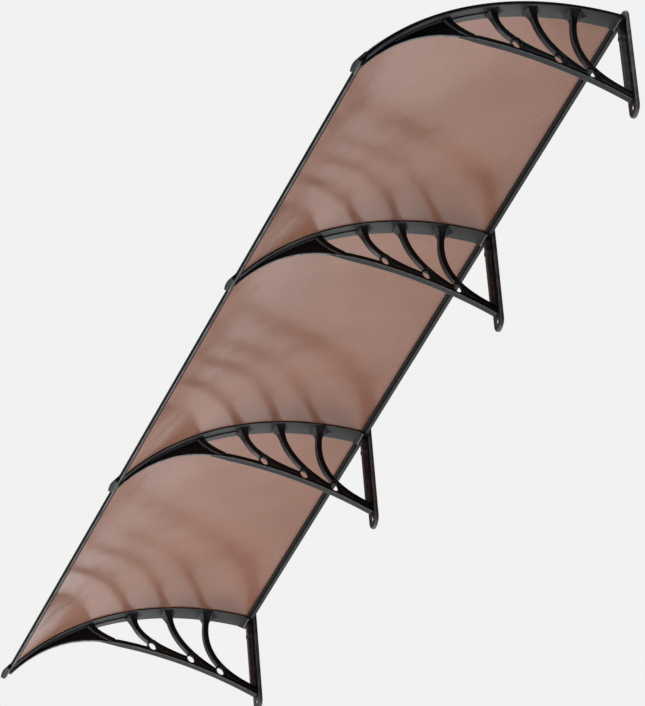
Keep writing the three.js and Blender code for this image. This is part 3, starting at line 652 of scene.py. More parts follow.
# Painted highlight on a boss's rims and painted shade in its recesses, across its profile
BOSS_MARKS = (0.0, 0.4, PAINTED_SHADE, PAINTED_SHADE, PAINTED_SHADE, 0.6, 0.0, 0.0, 0.6, 0.3)

# Points along a curve that only guides others, along a bar and along the flange
GUIDE_STEPS = 200
STRUT_STEPS = 96
BAR_STEPS = 110
POCKET_STEPS = 40
FLANGE_STEPS = 90
BEAD_STEPS = 40


class BracketForm:
    """The moulded bracket's forms about x = 0, each a closed shell that meets its neighbours."""

    def __init__(self, curve, sizes, rails):
        self.curve = curve
        self.s = sizes
        self.flange_top = curve.radius - curve.fit
        self.flange_bottom = self.flange_top - sizes.flange_thickness
        self.front_edge = curve.edge(curve.front_angle, 1.0, rails.front_lip)
        self.front_lip = rails.front_lip
        self.rail_wall = rails.wall
        reaches = np.array(sizes.boss_reach)
        self.bosses = np.stack([-reaches, self.bar_under(reaches) + sizes.boss_rise], axis=1)
        self.wall_middle = (np.array(sizes.boss_radii) + np.array(sizes.seat_radii)) / 2.0
        self.front_top = sizes.bar_start + sizes.front_top
        self.front_end = sizes.bar_start - sizes.front_end

    def bar_under(self, reach):
        """Underside of the lower bar: an arc that sags by R - sqrt(R^2 - run^2) from its crest."""
        s = self.s

        def sag(at):
            return s.bar_radius - np.sqrt(s.bar_radius**2 - (s.bar_crest - at) ** 2)

        return sag(s.plate_thickness) - sag(reach) - s.bar_foot_drop

    def flange_under(self, reach):
        """Underside of the flange at a reach."""
        return self.curve.height(reach, self.flange_bottom)

    def below_flange(self, grid):
        """Points above the middle of the flange are drawn down to it along the radius. The second
        result is true on points that touch the flange."""
        centre = np.array([-self.curve.crown, self.curve.centre_z])
        out = grid[..., 1:] - centre
        far = np.linalg.norm(out, axis=-1, keepdims=True)
        limit = (self.flange_bottom + self.flange_top) / 2.0
        grid = grid.copy()
        grid[..., 1:] = centre + out * np.minimum(1.0, limit / far)
        return grid, far[..., 0] > self.flange_bottom - self.s.head_line

    def clear_of_bosses(self, grid, way, before=0.0):
        """Points within the middle of a boss's wall, or up to a distance before it, slide along a
        direction until they are through, so that its hole and recesses stay open.

        With q the place and e the direction, both over the half axes, the slide is the larger root
        of |q + s e| = 1, and the smaller root is the distance before the wall.
        """
        e = way / self.wall_middle
        size = np.sum(e * e, axis=-1)
        grid = grid.copy()
        for boss in self.bosses:
            q = (grid[..., 1:] - boss) / self.wall_middle
            along = np.sum(q * e, axis=-1)
            square = along**2 + size * (1.0 - np.sum(q * q, axis=-1))
            half = np.sqrt(np.maximum(square, 0.0))
            enter, leave = (-along - half) / size, (-along + half) / size
            slides = (square > 0.0) & (leave > 0.0) & (enter < before)
            grid[..., 1:] += np.where(slides, leave, 0.0)[..., None] * way
        return grid

    def strut_controls(self, index):
        """Start on the flange, bend beside the strut's boss, end at the next boss or the plate."""
        s = self.s
        top = s.strut_tops[index]
        start = self.curve.point(self.flange_top, self.curve.angle(top, self.flange_top))
        bend = self.bosses[index] + (-s.strut_out[index], s.strut_up[index])
        if index + 1 < len(self.bosses):
            end = self.bosses[index + 1] + (-s.tail_out, s.tail_up)
        else:
            end = np.array([SINK - s.plate_thickness, -s.last_tail_drop])
        return np.array([start, bend, end])

    def front_controls(self):
        """Curve of the front strut, which bounds the web."""
        end_z = self.bar_under(self.front_end) + self.s.bar_thickness
        end = np.array([-self.front_end, end_z])
        angle = self.curve.angle(self.front_top, self.flange_top)
        start = self.curve.point(self.flange_top, angle)
        bend = end + (-self.s.front_bend[0], self.s.front_bend[1])
        return np.array([start, bend, end])

    def strut(self, controls, flare, half_width):
        """Bar along a strut's curve, which is close to its rear edge.

        Its head grows by flare * (1 - d / length)^power, where d is the distance from a point just
        above the flange: to the front, along X, and at the middle of its front and back. Its marks
        paint light: below the head the front gets painted shade where it stands upright and a
        painted highlight where it faces down.
        """
        s = self.s
        speed = 2.0 * np.linalg.norm(controls[1] - controls[0])
        t = np.linspace(-HEAD_ABOVE / speed, 1.0, STRUT_STEPS)
        line, way = bezier(controls, t)
        side = np.stack([way[:, 1], -way[:, 0]], axis=1)
        down = np.clip((t * speed + HEAD_ABOVE) / (s.head_length + HEAD_ABOVE), 0.0, 1.0)
        grow = flare * (1.0 - down) ** s.head_power
        depth = s.strut_thickness + grow * s.head_front
        widest = s.flange_width / 2.0 - s.flange_edge
        # Mark of painted light by the front's slope: painted shade when upright, painted highlight
        # when facing down
        painted_light = np.interp(-side[:, 1], s.strut_slopes, s.strut_marks)
        head = grow > HEAD_LEAST * flare
        grid, mark = bar_grid(
            line + side * (depth / 2.0 - s.strut_behind)[:, None],
            side,
            np.minimum(half_width + grow * s.head_spread, widest),
            depth / 2.0,
            s.lattice_edge,
            (grow * s.head_tip, grow * s.head_back),
            # On the head, a painted highlight on the front and painted shade on its middle line and
            # on the back
            (np.where(head, 1.0, painted_light), np.where(head, PAINTED_SHADE, painted_light), PAINTED_SHADE),
        )
        grid, touching = self.below_flange(grid)
        grid = self.clear_of_bosses(grid, -side[:, None, :], s.strut_thickness)
        # Points that touch the flange get painted shade, a dark line where the head meets it
        return skin(grid, np.where(touching, PAINTED_SHADE, mark))

    def pocket(self, index):
        """Wall that fills the corner between a strut's tail and the bar, behind its boss."""
        s = self.s
        controls = self.strut_controls(index)
        t = np.linspace(0.0, 1.0, GUIDE_STEPS)
        behind = bezier(controls, t)[0][:, 0] > self.bosses[index, 0] + self.wall_middle[0]
        line, _ = bezier(controls, np.linspace(t[behind][0], 1.0, POCKET_STEPS))
        low = self.bar_under(-line[:, 0]) + s.bar_thickness / 2.0
        high = line[:, 1] - POCKET_GAP
        grid, mark = upright_grid(line[:, 0], low, high, s.pocket_web / 2.0, POCKET_EDGE)
        return skin(self.clear_of_bosses(grid, np.array([-1.0, 0.0])), mark)

    def web(self):
        """Front web: its depth below the flange grows by a power of the run from the nose to the
        bar, and past the front strut its upper edge follows that strut's curve."""
        s = self.s
        nose = -self.front_edge(0.0, -self.curve.fit - s.flange_thickness - s.nose_depth)[0]
        reach = np.linspace(nose, self.front_end, STRUT_STEPS)
        run = np.clip((nose - reach) / (nose - s.bar_start), 0.0, 1.0)
        nose_depth = s.nose_depth / np.cos(self.curve.front_angle)
        bar_depth = self.flange_under(s.bar_start) - self.bar_under(s.bar_start)
        depth = nose_depth + (bar_depth - nose_depth) * run**s.web_power
        low = np.where(reach > s.bar_start, self.flange_under(reach) - depth, self.bar_under(reach))
        strut, _ = bezier(self.front_controls(), np.linspace(0.0, 1.0, GUIDE_STEPS))
        edge = np.interp(-reach, strut[:, 0], strut[:, 1]) - WEB_GAP
        roof = self.flange_under(reach) + SINK
        high = np.where(reach > self.front_top, roof, np.minimum(roof, edge))
        # Painted highlight on the web's underside and its rounds
        marks = {"flats": (0.0, 0.0, s.web_highlight), "rounds": s.web_highlight}
        return skin(*upright_grid(-reach, low, high, s.web_thickness / 2.0, WEB_EDGE, **marks))

    def bar(self):
        """Lower bar, which widens out of the web over its taper."""
        s = self.s
        reach = np.linspace(s.bar_start, s.plate_thickness - SINK, BAR_STEPS)
        wide = np.clip((s.bar_start - reach) / s.bar_taper, 0.0, 1.0)
        wide = wide * wide * (3.0 - 2.0 * wide)
        narrow = s.web_thickness / 2.0 + BAR_PROUD
        half = narrow + (s.lattice_width / 2.0 - narrow) * wide
        low = self.bar_under(reach)
        # Painted shade on the bar's underside, a painted highlight on its rounds
        marks = {"flats": (0.0, 0.0, s.bar_underside), "rounds": s.bar_highlight}
        high = low + s.bar_thickness
        grid, mark = upright_grid(-reach, low, high, half, s.lattice_edge, **marks)
        return skin(self.clear_of_bosses(grid, np.array([0.0, -1.0])), mark)

    def boss(self, centre):
        """Ring with an oval hole and a recess on each side: a profile of half axes and x, carried
        round an ellipse y = ry cos f, z = rz sin f."""
        s = self.s
        web = s.boss_web / 2.0
        rim = s.lattice_width / 2.0 + s.boss_proud
        hole, seat, outer = (np.array(r) for r in (s.hole_radii, s.seat_radii, s.boss_radii))
        soft = BOSS_EDGE
        half_profile = [
            (hole, web - soft),
            (hole + soft, web),
            (seat - soft, web),
            (seat, web + soft),
            (seat, rim - soft),
            (seat + soft / 2.0, rim - soft / 4.0),
            (seat + soft, rim),
            (outer - soft, rim),
            (outer - soft / 4.0, rim - soft / 2.0),
            (outer, rim - soft),
        ]
        radii = np.array([radius for radius, _ in half_profile])
        x = np.array([at for _, at in half_profile])
        radii = np.concatenate([radii, radii[::-1]])
        x = np.concatenate([x, -x[::-1]])
        # Painted highlight on the rims and painted shade in the recesses
        mark = np.array(BOSS_MARKS + BOSS_MARKS[::-1])
        turn = full_turn(48)
        y = centre[0] + radii[:, :1] * np.cos(turn)
        z = centre[1] + radii[:, 1:] * np.sin(turn)
        grid = np.stack([np.broadcast_to(x[:, None], y.shape), y, z], axis=-1)
        return skin(grid, np.broadcast_to(mark[:, None], y.shape), joined=True)

    def flange(self):
        """Flange, spine, bead and thin rib as bands along the sheets' curve; the flange's sides are
        painted in shade, and the flange and bead grow painted shade towards the front.
        """
        s = self.s
        curve = self.curve
        start = curve.angle(s.plate_thickness - SINK, self.flange_top)
        end = curve.front_angle - (self.front_lip + curve.fit) / curve.radius

        def under(width, depth, radius, reach_a, reach_b):
            roof = self.flange_bottom + SINK
            corners = rectangle(width / 2.0, self.flange_bottom - depth, roof)
            a, b = (curve.angle(reach, self.flange_bottom) for reach in (reach_a, reach_b))
            return arc_sweep(curve, corners, radius, a, b, BEAD_STEPS)

        plate = rectangle(s.flange_width / 2.0, self.flange_bottom, self.flange_top)
        spine = rectangle(s.spine_width / 2.0, self.flange_bottom + SINK, curve.sheet_top)
        bead_a = self.front_top + s.bead_start
        bead_b = curve.front_reach - s.bead_end
        band = arc_sweep(curve, plate, s.flange_edge, start, end, FLANGE_STEPS)
        # The flange's side faces get painted shade
        beside = np.abs(band.points[:, 0]) > s.flange_width / 2.0 - HAIR

        # Painted shade that grows towards the front over the given reach
        def shaded(shell):
            deep = np.interp(-shell.points[:, 1], s.shade_reach, (0.0, 1.0))
            change = (FLANGE_SHADE * PAINTED_SHADE - shell.edge) * deep
            return shell._replace(edge=shell.edge + change)

        return [
            shaded(band._replace(edge=np.where(beside, PAINTED_SHADE, band.edge))),
            arc_sweep(curve, spine, SPINE_EDGE, start, end, FLANGE_STEPS),
            shaded(under(s.bead_width, s.bead_depth, BEAD_EDGE, bead_a, bead_b)),
            under(s.rib_width, s.rib_depth, RIB_EDGE, max(s.strut_tops), self.front_top),
        ]

    def nose(self):
        """Nose that runs out between two front rails."""
        s = self.s
        top = self.curve.thickness + self.rail_wall + self.curve.fit
        bottom = -self.curve.fit - s.flange_thickness - s.nose_depth
        runs = [-s.nose_run, 0.0, s.nose_overhang, s.nose_overhang]
        rises = [bottom, bottom, 0.0, top]
        runs += [-self.front_lip, -self.front_lip, -s.nose_run]
        rises += [top, self.curve.thickness, 0.0]
        outline = self.front_edge(np.array(runs), np.array(rises))
        return prism(outline, s.nose_width / 2.0, NOSE_EDGE)

    def plate_half(self, low, high, hole, boss_height, recess, inset):
        """Round-ended plate with a hole: a profile from the hole's front over the front face, the
        rounded rim and the back to the hole's other end, carried round the plate's loop. Its marks
        paint highlights on the hole's edge, the boss, the rim, the sides and the back, and shade on
        the front face."""
        s = self.s
        half = s.plate_width / 2.0 - inset
        face = s.plate_thickness - inset
        soft = HOLE_EDGE
        loops = []

        def add(radius, depth, mark=0.0, ends=(low, high)):
            loops.append((radius, -depth, mark, ends))

        at_hole = (hole - TOUCH, hole + TOUCH)
        front = face + boss_height
        add(s.wall_hole, front - soft, 0.0, at_hole)
        add(s.wall_hole + soft, front, HOLE_HIGHLIGHT, at_hole)
        if boss_height > 0.0:
            add(s.hole_boss - soft, front, HOLE_HIGHLIGHT, at_hole)
            add(s.hole_boss, front - soft, SOFT_HIGHLIGHT, at_hole)
            add(s.hole_boss, face, 0.0, at_hole)
        add(s.hole_boss + soft, face, PAINTED_SHADE, at_hole)
        add(half - FACE_IN * s.plate_edge, face, PAINTED_SHADE)
        draw, run = end_rounds(s.plate_edge, 4)
        for inwards, back in zip(draw, run):
            add(half - inwards, face - back, RIM_HIGHLIGHT)
        add(half, RIM_BACK, SIDE_HIGHLIGHT)
        add(half, BACK_EDGE, SIDE_HIGHLIGHT)
        add(half - BACK_EDGE, inset, BACK_HIGHLIGHT)
        if recess:
            ends = (hole, hole + s.back_length)
            rim = s.plate_width / 2.0 - s.back_rim
            floor = s.plate_thickness - s.back_skin
            add(rim + soft, inset, SOFT_HIGHLIGHT, ends)
            add(rim, inset + soft, SOFT_HIGHLIGHT, ends)
            add(rim, floor - soft, 0.0, ends)
            add(rim - soft, floor, 0.0, ends)
            add(s.wall_hole + soft, floor, 0.0, at_hole)
            add(s.wall_hole, floor + soft / 2.0, 0.0, at_hole)
        else:
            add(s.wall_hole + soft, inset, 0.0, at_hole)
            add(s.wall_hole, inset + soft, 0.0, at_hole)
        arc = np.linspace(0.0, np.pi, 24)
        turn = np.concatenate([arc, np.pi + arc])
        lines = np.array([stadium(radius, *ends, turn) for radius, _, _, ends in loops])
        depth = np.array([at for _, at, _, _ in loops])
        mark = np.array([value for _, _, value, _ in loops])
        y = np.broadcast_to(depth[:, None], lines.shape[:2])
        grid = np.stack([lines[..., 0], y, lines[..., 1]], axis=-1)
        return skin(grid, np.broadcast_to(mark[:, None], y.shape), joined=True)

    def plate(self):
        """Wall plate in two overlapping halves, its rib in two lengths beside the upper hole, and
        the block under the flange, painted in shade, with a painted glint along its lip."""
        s = self.s
        half = s.plate_width / 2.0
        top = s.plate_top - half
        bottom = s.plate_top - s.plate_length + half
        upper_hole = -s.upper_hole_drop
        seam = (top + bottom) / 2.0
        shells = [
            self.plate_half(seam - PLATE_LAP, top, upper_hole, s.plate_rib_depth, False, 0.0),
            self.plate_half(bottom, seam + PLATE_LAP, bottom, 0.0, True, PLATE_INSET),
        ]
        front = -s.plate_thickness - s.plate_rib_depth
        back = -s.plate_thickness + SINK
        roof = self.flange_under(s.plate_thickness) + SINK
        foot = self.bar_under(-front) + s.bar_thickness / 2.0
        for low, high in ((foot, upper_hole - RIB_GAP), (upper_hole + RIB_GAP, roof)):
            corners = [(front, low), (back, low), (back, high), (front, high)]
            shells.append(prism(corners, s.plate_rib_width / 2.0, PLATE_RIB_EDGE))
        lip = self.flange_under(s.block_lip) - s.block_drop
        roof_at = self.flange_bottom + SINK
        reaches = np.array([s.block_reach, s.plate_thickness - SINK])
        roof_points = self.curve.point(roof_at, self.curve.angle(reaches, roof_at))
        corners = [roof_points[0], (-s.block_lip, lip), (back, lip), roof_points[1]]
        # The head block is painted in shade all over
        shells.append(marked(prism(corners, half - TOUCH, BLOCK_EDGE), PAINTED_SHADE))
        turn = full_turn(12)
        ring = s.block_bead * np.stack([np.cos(turn), np.sin(turn)], axis=1)
        bead = prism(ring + (-s.block_lip, lip), half - LINE_EDGE, LINE_EDGE)
        # The bead along the lip carries a painted glint
        shells.append(marked(bead, PAINTED_GLINT))
        return shells

    def shells(self):
        """Every form of the bracket."""
        s = self.s
        half = s.strut_width / 2.0
        found = self.flange() + self.plate() + [self.web(), self.bar(), self.nose()]
        found.append(self.strut(self.front_controls(), s.front_flare, half))
        for index, boss in enumerate(self.bosses):
            width = half - STRUT_STEP * index
            controls = self.strut_controls(index)
            found.append(self.strut(controls, s.head_flare[index], width))
            found.append(self.pocket(index))
            found.append(self.boss(boss))
        return found


# Rails, sheets, strips and screws


SHEET_STEPS = 150
STRIP_STEPS = 90
RIDGE_GAP = 0.2 * MM
RIDGE_EDGE = 0.3 * MM

# A screw's head: share of its radius in the crown, and shares of its height at the rim and above
CROWN = 0.62
CROWN_POINTS = np.linspace(0.58, 0.02, 16)
RIM_LOW = 0.35
RIM_HIGH = 0.85

# A screw's tip, and the soft ends, the slope and the lowest height of its cross recess
SCREW_TIP = 0.1 * MM
CROSS_SOFT = 0.5 * MM
CROSS_SLOPE = 1.5
CROSS_FROM = 0.8


def sheet_shells(curve, sizes, bracket):
    """Sheet between two spines: a flat rounded section carried along the curve."""
    half = (sizes.spacing - bracket.spine_width) / 2.0 - bracket.spine_gap
    corners = rectangle(half, curve.radius, curve.sheet_top)
    angles = (curve.wall_angle, curve.front_angle)
    return [arc_sweep(curve, corners, sizes.sheet_edge, *angles, SHEET_STEPS)]


def rail_heights(curve, rails):
    """Heights above a sheet's underside: of a rail's underside, of the inner side of its upper
    wall and of its top."""
    inner = curve.thickness + curve.fit
    return -curve.fit - rails.wall, inner, inner + rails.wall


def front_rail_shells(curve, sizes, bracket, rails):
    """Channel over a sheet's front edge, with a sloping nose, and a ridge below it; the channel is
    painted in shade, less of it on the lip, and the ridge carries a painted highlight.
    """
    place = curve.edge(curve.front_angle, 1.0, rails.front_lip)
    under, inner, over = rail_heights(curve, rails)
    lip = -rails.front_lip
    nose = curve.fit + rails.front_nose
    face = nose - rails.ridge
    corners = [
        (lip, -curve.fit),
        (lip, under),
        (face - rails.wall / 2.0, under),
        (face, -rails.nose_low),
        (face, rails.nose_high),
        (curve.fit, over),
        (lip, over),
        (lip, inner),
        (curve.fit, inner),
        (curve.fit, -curve.fit),
    ]
    runs, rises = np.array(corners).T
    half = (sizes.spacing - bracket.nose_width) / 2.0 - curve.fit
    turn = full_turn(14)
    ridge_run = face - rails.ridge_back + rails.ridge_width / 2.0 * np.cos(turn)
    ridge = place(ridge_run, under + rails.ridge_up + rails.ridge * np.sin(turn))
    bead = prism(ridge, half - RIDGE_GAP, RIDGE_EDGE)
    rail = prism(place(runs, rises), half, rails.edge)
    origin = place(0.0, 0.0)
    run = (rail.points[:, 1:] - origin) @ (place(1.0, 0.0) - origin)
    # Painted shade over the channel, lighter on the lip; the ridge bead gets a painted highlight
    deep = np.interp(run, (lip, 0.0), (rails.lip_shade * PAINTED_SHADE, PAINTED_SHADE))
    return [rail._replace(edge=deep), marked(bead, RIDGE_HIGHLIGHT)]


def wall_rail_shells(curve, sizes, bracket, rails):
    """Channel over a sheet's wall edge, with a shelf to the wall and an upright leg on it."""
    place = curve.edge(curve.wall_angle, -1.0, rails.wall_lip)
    under, inner, over = rail_heights(curve, rails)
    leg = rails.leg_height / 2.0
    riser = place(curve.fit, 0.0)[0]
    step = place(-rails.step, under - rails.step_depth)
    corners = [
        place(-rails.wall_lip, -curve.fit),
        place(-rails.wall_lip, under),
        place(-rails.step, under),
        step,
        (riser + rails.wall, step[1]),
        (riser + rails.wall, -leg),
        (0.0, -leg),
        (0.0, leg),
        (-rails.leg_thickness, leg),
        (-rails.leg_thickness, rails.leg_thickness - leg),
        (riser, rails.leg_thickness - leg),
        place(curve.fit, over),
        place(-rails.wall_upper_lip, over),
        place(-rails.wall_upper_lip, inner),
        place(curve.fit, inner),
        place(curve.fit, -curve.fit),
    ]
    half = (sizes.spacing - bracket.plate_width) / 2.0 - curve.fit
    return [prism(np.array(corners), half, rails.edge)]


def wall_seal_shells(curve, sizes, bracket, rails):
    """Rubber seal under the thin part of the wall rail's lip, and a thin strip beside it painted in
    shade to darken the groove.
    """
    place = curve.edge(curve.wall_angle, -1.0, rails.wall_lip)
    under, _, _ = rail_heights(curve, rails)
    half = (sizes.spacing - bracket.plate_width) / 2.0 - 2.0 * curve.fit

    def strip(start, end, depth):
        runs = np.array([start, start, end, end])
        rises = np.array([-curve.fit, under - depth, under - depth, -curve.fit])
        return prism(place(runs, rises), half, rails.edge)

    groove = -rails.step - rails.groove
    seal = strip(-rails.wall_lip - rails.seal_start, groove, rails.seal_depth)
    # A thin strip in the groove, painted in shade
    floor = strip(groove - rails.groove / 2.0, -rails.step, rails.seal_depth / 4.0)
    return [seal, marked(floor, PAINTED_SHADE)]


def bow_outline(half_width, base, edge, top, steps=24):
    """Flat-based outline of (x, height) points whose top is the parabola
    edge + (top - edge)(1 - s^2), for s from 1 to -1 across the width."""
    across = np.linspace(1.0, -1.0, steps + 1)
    bow = np.stack([half_width * across, edge + (top - edge) * (1.0 - across**2)], axis=1)
    return np.concatenate([[(-half_width, base), (half_width, base)], bow])


def edge_slab(place, corners, start, end, rounding, highlighted, face):
    """Outline of (x, rise) points with rounded corners, carried past a sheet's front edge from one
    run to another, its two ends rounded too, with one mark on the rounds and one on the faces."""
    run, draw = run_with_rounds(start, end, rounding, 2)
    lines, round_share = drawn_in(corners, rounding, draw)
    round_share[[0, -1]] = 0.0
    seen = place(np.broadcast_to(run[:, None], lines.shape[:2]), lines[..., 1])
    marks = face + (highlighted - face) * round_share
    return skin(np.concatenate([lines[..., :1], seen], axis=2), marks)


def strip_shells(curve, bracket, rails, strips):
    """Bowed cover strip along the curve, and the end cap that hangs over the rails' noses.

    The cap's front has lower corners rounded as quarter ellipses. The cap's top is painted in
    shade, and the hanging front has painted highlights on its rounds and painted shade on its face.
    """
    half = strips.width / 2.0
    top = curve.cover_bottom + strips.thickness
    edge = curve.cover_bottom + strips.edge_height
    strip = bow_outline(half, curve.cover_bottom, edge, top)
    start = curve.angle(bracket.plate_thickness + curve.fit, top)
    end = curve.front_angle - (rails.front_lip + curve.fit) / curve.radius
    place = curve.edge(curve.front_angle, 1.0, rails.front_lip)
    rail_top = rail_heights(curve, rails)[-1] + curve.fit
    rail_front = curve.fit + rails.front_nose + curve.fit
    cap_edge = rail_top + strips.cap_edge
    cap = bow_outline(half, rail_top, cap_edge, rail_top + strips.cap_height)
    front = half - strips.cap_step
    quarter = np.linspace(0.0, np.pi / 2.0, 9)
    corner_x = front - strips.cap_corner * (1.0 - np.sin(quarter))
    corner_rise = strips.cap_corner * (1.0 - np.cos(quarter)) - strips.cap_drop
    right = np.stack([corner_x, corner_rise], axis=1)
    left = right[::-1] * (-1.0, 1.0)
    hanging = np.concatenate([right, [(front, cap_edge), (-front, cap_edge)], left])
    cap_start = strips.cap_overhang - strips.cap_length
    cap_front = strips.cap_overhang - strips.cap_step
    # Painted highlight on the front's rounds and painted shade on its face; painted shade all over
    # the cap's top
    shine = (strips.cap_highlight, strips.cap_face)
    black = (PAINTED_SHADE, PAINTED_SHADE)
    return [
        arc_sweep(curve, strip, strips.edge, start, end, STRIP_STEPS),
        edge_slab(place, cap, cap_start, strips.cap_overhang, strips.cap_round, *black),
        edge_slab(place, hanging, rail_front, cap_front, strips.cap_round, *shine),
    ]


def screw_shell(curve, strips, angle):
    """Pan-head screw standing on the curve at an angle.

    The shank and the head are a profile of (radius, height) points turned about the axis. The
    head's top falls by the cross recess wherever a point lies within either of its two arms.
    """
    seat = curve.fit
    shank = strips.thickness + strips.screw_depth
    low = np.array([(SCREW_TIP, -shank), (strips.screw_radius, strips.screw_radius / 2.0 - shank)])
    side = np.array([(strips.screw_radius, seat), (strips.head_radius, seat)])
    bow = np.linspace(0.0, np.pi / 2.0, 7)
    rim = strips.head_radius * (CROWN + (1.0 - CROWN) * np.cos(bow))
    rise = seat + strips.head_height * (RIM_LOW + (RIM_HIGH - RIM_LOW) * np.sin(bow))
    crown_bow = np.sqrt(1.0 - (CROWN_POINTS / CROWN) ** 2)
    crown_rise = seat + strips.head_height * (RIM_HIGH + (1.0 - RIM_HIGH) * crown_bow)
    radius = np.concatenate([low[:, 0], side[:, 0], rim, CROWN_POINTS * strips.head_radius])
    height = np.concatenate([low[:, 1], side[:, 1], rise, crown_rise])
    turn = full_turn(40)
    u = radius[:, None] * np.cos(turn)
    v = radius[:, None] * np.sin(turn)
    w = np.repeat(height[:, None], len(turn), axis=1)

    def arm(along, aside):
        inside = np.clip((strips.cross_length - np.abs(along)) / CROSS_SOFT, 0.0, 1.0)
        depth = CROSS_SLOPE * (1.0 - np.abs(aside) / strips.cross_width)
        return inside * np.clip(depth, 0.0, 1.0)

    on_top = np.where(w > seat + CROSS_FROM * strips.head_height, 1.0, 0.0)
    w = w - strips.cross_depth * on_top * np.maximum(arm(u, v), arm(v, u))
    base = curve.point(curve.cover_bottom + strips.thickness, angle)
    out = np.array([-np.sin(angle), np.cos(angle)])
    along = np.array([-np.cos(angle), -np.sin(angle)])
    seen = base + v[..., None] * along + w[..., None] * out
    return skin(np.concatenate([u[..., None], seen], axis=2), 0.0)


def screw_angles(curve, strips):
    """Evenly spaced between the margins at the two edges of the sheets."""
    start = curve.wall_angle + strips.screw_margin
    end = curve.front_angle - strips.screw_margin
    return np.linspace(start, end, strips.screws)


# Materials


def feed(tree, node, inputs):
    """Gives a node's inputs, by name or number, a value or a link from another node's output."""
    for key, value in inputs.items():
        if isinstance(value, bpy.types.NodeSocket):
            tree.links.new(value, node.inputs[key])
        else:
            node.inputs[key].default_value = value


def new_node(tree, kind, inputs=None, **settings):
    """A node with its settings and its inputs."""
    node = tree.nodes.new("ShaderNode" + kind)
    for key, value in settings.items():
        setattr(node, key, value)
    feed(tree, node, inputs or {})
    return node


def reckoned(tree, operation, *values, **settings):
    """One or two values put through a sum, a product or the like."""
    inputs = dict(enumerate(values))
    return new_node(tree, "Math", inputs, operation=operation, **settings).outputs["Value"]


def ranged(tree, value, low, high, least=0.0, most=1.0):
    """A value from `low` to `high` carried over to a range from `least` to `most`."""
    inputs = {"Value": value, "From Min": low, "From Max": high, "To Min": least, "To Max": most}
    return new_node(tree, "MapRange", inputs).outputs["Result"]


def noise(tree, scale, detail, roughness, place=None):
    """A noise over the object's own coordinates or over a place that is given."""
    if place is None:
        place = new_node(tree, "TexCoord").outputs["Object"]
    inputs = {"Vector": place, "Scale": scale, "Detail": detail, "Roughness": roughness}
    return new_node(tree, "TexNoise", inputs).outputs["Fac"]


def mixed(tree, mask, low, high):
    """Colour between two colours or sockets, by a mask socket."""
    mix = new_node(tree, "Mix", {"Factor": mask}, data_type="RGBA")
    places = [index for index, socket in enumerate(mix.inputs) if socket.type == "RGBA"]
    for place, value in zip(places, (low, high)):
        linked = isinstance(value, bpy.types.NodeSocket)
        feed(tree, mix, {place: value if linked else (*value, 1.0)})
    return next(socket for socket in mix.outputs if socket.type == "RGBA")


def bumped(tree, height, strength, distance):
    """A normal from a height socket."""
    inputs = {"Height": height, "Strength": strength, "Distance": distance}
    return new_node(tree, "Bump", inputs).outputs["Normal"]


def new_group(name, inputs, outputs):
    """A shader node group with float inputs (name, default) and float outputs: its tree, the
    outputs of its start and its end."""
    tree = bpy.data.node_groups.new(name, "ShaderNodeTree")
    for label, default in inputs.items():
        socket = tree.interface.new_socket(label, in_out="INPUT", socket_type="NodeSocketFloat")
        socket.default_value = default
    for label in outputs:
        tree.interface.new_socket(label, in_out="OUTPUT", socket_type="NodeSocketFloat")
    start = tree.nodes.new("NodeGroupInput")
    return tree, start.outputs, tree.nodes.new("NodeGroupOutput")


def mould_grain(name):
    """Fine grain and slow patches of a moulded or cast surface, from two noises."""
    scales = {"Grain Scale": 900.0, "Patch Scale": 14.0}
    tree, start, end = new_group(name, scales, ["Grain", "Patches"])
    grain = noise(tree, start["Grain Scale"], 3.0, 0.6)
    patches = noise(tree, start["Patch Scale"], 4.0, 0.55)
    feed(tree, end, {"Grain": grain, "Patches": ranged(tree, patches, 0.32, 0.68)})
    return tree


def rubbed_edge(name):
    """Mask of the painted highlight on rounded edges, a share of their mark broken up by a noise,
    and a mask of the painted shade on faces whose mark is below nought."""
    values = {"Scale": 40.0, "Least": 0.35, "Most": 1.0}
    tree, start, end = new_group(name, values, ["Mask", "Deep"])
    edge = new_node(tree, "Attribute", attribute_name="edge").outputs["Fac"]
    spots = noise(tree, start["Scale"], 3.0, 0.5)
    painted_light = ranged(tree, spots, 0.35, 0.65, start["Least"], start["Most"])
    deep = reckoned(tree, "MULTIPLY", edge, PAINTED_SHADE, use_clamp=True)
    feed(tree, end, {"Mask": reckoned(tree, "MULTIPLY", edge, painted_light), "Deep": deep})
    return tree


def drawn_lines(name):
    """Fine lines along X, as on a drawn or brushed metal, from a noise stretched along X."""
    tree, start, end = new_group(name, {"Scale": 700.0}, ["Lines"])
    place = new_node(tree, "TexCoord").outputs["Object"]
    stretched = new_node(tree, "Mapping", {"Vector": place, "Scale": (0.004, 1.0, 1.0)})
    lines = noise(tree, start["Scale"], 2.0, 0.5, stretched.outputs["Vector"])
    feed(tree, end, {"Lines": ranged(tree, lines, 0.3, 0.7)})
    return tree


NODE_GROUPS = {
    "mould_grain": mould_grain,
    "rubbed_edge": rubbed_edge,
    "drawn_lines": drawn_lines,
}


def grouped(tree, name, **values):
    """Outputs of a node group, made the first time, that is placed with its own values."""
    group = bpy.data.node_groups.get(name) or NODE_GROUPS[name](name)
    inputs = {key.replace("_", " "): value for key, value in values.items()}
    return new_node(tree, "Group", inputs, node_tree=group).outputs


def new_material(name):
    """An empty node material with its shader, linked to the output."""
    material = bpy.data.materials.new(name)
    material.use_nodes = True
    tree = material.node_tree
    tree.nodes.clear()
    shader = new_node(tree, "BsdfPrincipled")
    new_node(tree, "OutputMaterial", {"Surface": shader.outputs["BSDF"]})
    return material, tree, shader


